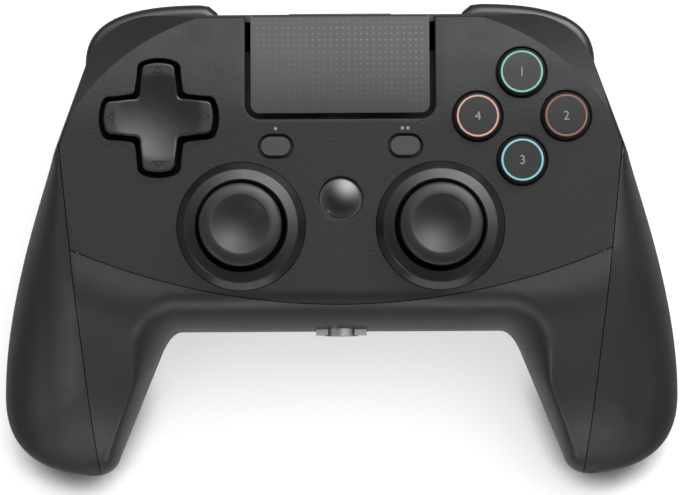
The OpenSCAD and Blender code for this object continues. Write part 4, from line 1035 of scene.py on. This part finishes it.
# Triggers: curved blades on steel pins below the bumpers, each sprung outwards by a torsion spring.
# Black plastic, satin, with rounded edges for the fingertip.
def softened_copy(name, width):
    """The solid's own form with its edges rounded."""
    bm = bmesh.new()
    bm.from_mesh(solids[name].data)
    bmesh.ops.scale(bm, vec=(1000, 1000, 1000), verts=bm.verts)
    bmesh.ops.remove_doubles(bm, verts=bm.verts, dist=0.002)
    bmesh.ops.dissolve_limit(bm, angle_limit=math.radians(1), verts=bm.verts, edges=bm.edges)
    return soften(bm, width, 40, 3)


for side in sides:
    piece(side + "_trigger_blade", softened_copy(side + "_trigger", 0.35), key_satin,
          side + "_trigger", "key_plastic", side + "_trigger")


# Sockets and lens: a plated headset socket under the front wall, a charging socket and a smoked
# light window in the rear wall. They are soldered to the main board or clipped into the plate.
lens_smoke = moulded("lens_smoke", (0.02, 0.022, 0.025), (0.03, 0.033, 0.037), 0.05, 0.12, 1200.0,
                     0.000002, coat=0.3)
socket_plate = metal("socket_plate", (0.36, 0.35, 0.33), (0.55, 0.54, 0.51), 0.28, 0.45, 700.0)
piece("headset_flange", softened_copy("headset_socket", 0.25), socket_plate, "case", "zinc",
      "headset_socket")
piece("status_window", softened_copy("status_lens", 0.2), lens_smoke, "case", "smoked_lens",
      "status_lens")


# Stage: a white table that only the camera sees, glowing by itself and carrying a painted contact shadow
# where the pad comes close, a broad glow behind the pad on the right, weaker panels round it, and a camera
# with a long lens that looks straight down on the face.
table = bmesh.new()
bmesh.ops.create_grid(table, x_segments=2, y_segments=2, size=3.0)
table_mesh = bpy.data.meshes.new("table_top")
table.to_mesh(table_mesh)
table.free()
floor = bpy.data.objects.new("table_top", table_mesh)
bpy.context.scene.collection.objects.link(floor)
floor.visible_glossy = False
floor.visible_diffuse = False
table_painted_shadow, floor_tree, floor_base = shader("table_glow_painted_shadow")
mottle = node(floor_tree, "TexNoise", {"Scale": 3.0, "Detail": 2.0})
pale = blend(floor_tree, mottle.outputs["Fac"], (0.5, 0.5, 0.5), (0.52, 0.52, 0.52))
# Painted shadow: the table's glow and its colour are darkened where the pad's shape hems a spot in from the
# rear, standing in for the pad's contact shadow.
from_rear = node(floor_tree, "CombineXYZ", {"X": 0.0, "Y": 0.95, "Z": 0.3}).outputs[0]
painted_shadow_occlusion = node(floor_tree, "AmbientOcclusion", {"Distance": 0.012, "Normal": from_rear},
              samples=16).outputs["AO"]
glow_with_painted_shadow = ranged(floor_tree, painted_shadow_occlusion, 0.55, 0.84, 0.0, 0.56, "SMOOTHSTEP")
colour_with_painted_shadow = blend(floor_tree, ranged(floor_tree, painted_shadow_occlusion, 0.4, 0.65), (0.06, 0.06, 0.06), pale)
floor_tree.links.new(colour_with_painted_shadow, floor_base.inputs["Base Color"])
floor_tree.links.new(glow_with_painted_shadow, floor_base.inputs["Emission Strength"])
floor_base.inputs["Emission Color"].default_value = (1, 1, 1, 1)
floor_base.inputs["Roughness"].default_value = 0.7
floor_base.inputs["Specular IOR Level"].default_value = 0.0
table_mesh.materials.append(table_painted_shadow)

world = bpy.data.worlds.new("studio")
bpy.context.scene.world = world
world.use_nodes = True
sky = world.node_tree
way = node(sky, "TexCoord").outputs["Generated"]
up = node(sky, "SeparateXYZ", {0: way}).outputs["Z"]
ramp = node(sky, "ValToRGB", {"Fac": ranged(sky, up, -1.0, 1.0)})
glows = ((0.05, 0.4), (0.2, 0.38), (0.33, 0.22), (0.5, 0.2), (0.74, 0.75), (0.87, 0.5), (0.95, 0.2))
for position, level in glows:
    stop = ramp.color_ramp.elements.new(position)
    stop.color = (level, 0.98*level, level, 1)
ramp.color_ramp.elements.remove(ramp.color_ramp.elements[0])
ramp.color_ramp.elements.remove(ramp.color_ramp.elements[-1])
key_way = Vector((0.27, 0.58, 0.77)).normalized()
facing = maths(sky, "MAXIMUM", vectors(sky, "DOT_PRODUCT", way, key_way))
key_glow = maths(sky, "MULTIPLY", maths(sky, "POWER", facing, 10.0), 6.6)
sky.links.new(vectors(sky, "ADD", ramp.outputs["Color"], key_glow), sky.nodes["Background"].inputs["Color"])


def soft_light(name, spot, target, width, height, glow):
    """A soft panel of an even glow, which is what a mirror in its place would show."""
    lamp = bpy.data.lights.new(name, "AREA")
    lamp.shape = "RECTANGLE"
    lamp.size = width
    lamp.size_y = height
    lamp.energy = glow*math.pi*width*height
    lit = bpy.data.objects.new(name, lamp)
    lit.location = spot
    lit.rotation_euler = (Vector(target) - Vector(spot)).to_track_quat("-Z", "Y").to_euler()
    bpy.context.scene.collection.objects.link(lit)


soft_light("front_card", (0.0, -1.0, 0.12), (0, 0, 0.03), 1.2, 0.5, 1.4)
soft_light("edge_strip", (-0.55, -0.5, 0.5), (0, 0, 0.03), 0.12, 0.5, 3.5)
soft_light("rear_right_panel", (0.72, 0.85, 0.58), (0, 0, 0.03), 0.5, 0.45, 4.0)
soft_light("rear_left_panel", (-0.65, 0.8, 0.62), (0, 0, 0.03), 0.6, 0.45, 1.2)

photo_scale = 4.3
photo_width = 680
reach = 800.0
aim = Vector((-0.23, -2.33, face_height))
lean_front, roll = math.radians(3.0), math.radians(-0.3)
direction = Vector((0, -math.sin(lean_front), 1)).normalized()
lens = bpy.data.cameras.new("photo_camera")
lens.sensor_width = 36
lens.lens = 36*reach*photo_scale/photo_width
lens.clip_end = 10
camera = bpy.data.objects.new("photo_camera", lens)
side_axis = (Vector((1, 0, 0)) - direction*direction.x).normalized()
turn = Matrix((side_axis, direction.cross(side_axis), direction)).transposed().to_4x4()
turn = turn @ Matrix.Rotation(roll, 4, "Z")
camera.matrix_world = Matrix.Translation((aim + direction*reach)*0.001) @ turn
bpy.context.scene.collection.objects.link(camera)
bpy.context.scene.camera = camera
bpy.context.scene.view_settings.view_transform = "Standard"

bpy.context.view_layer.update()
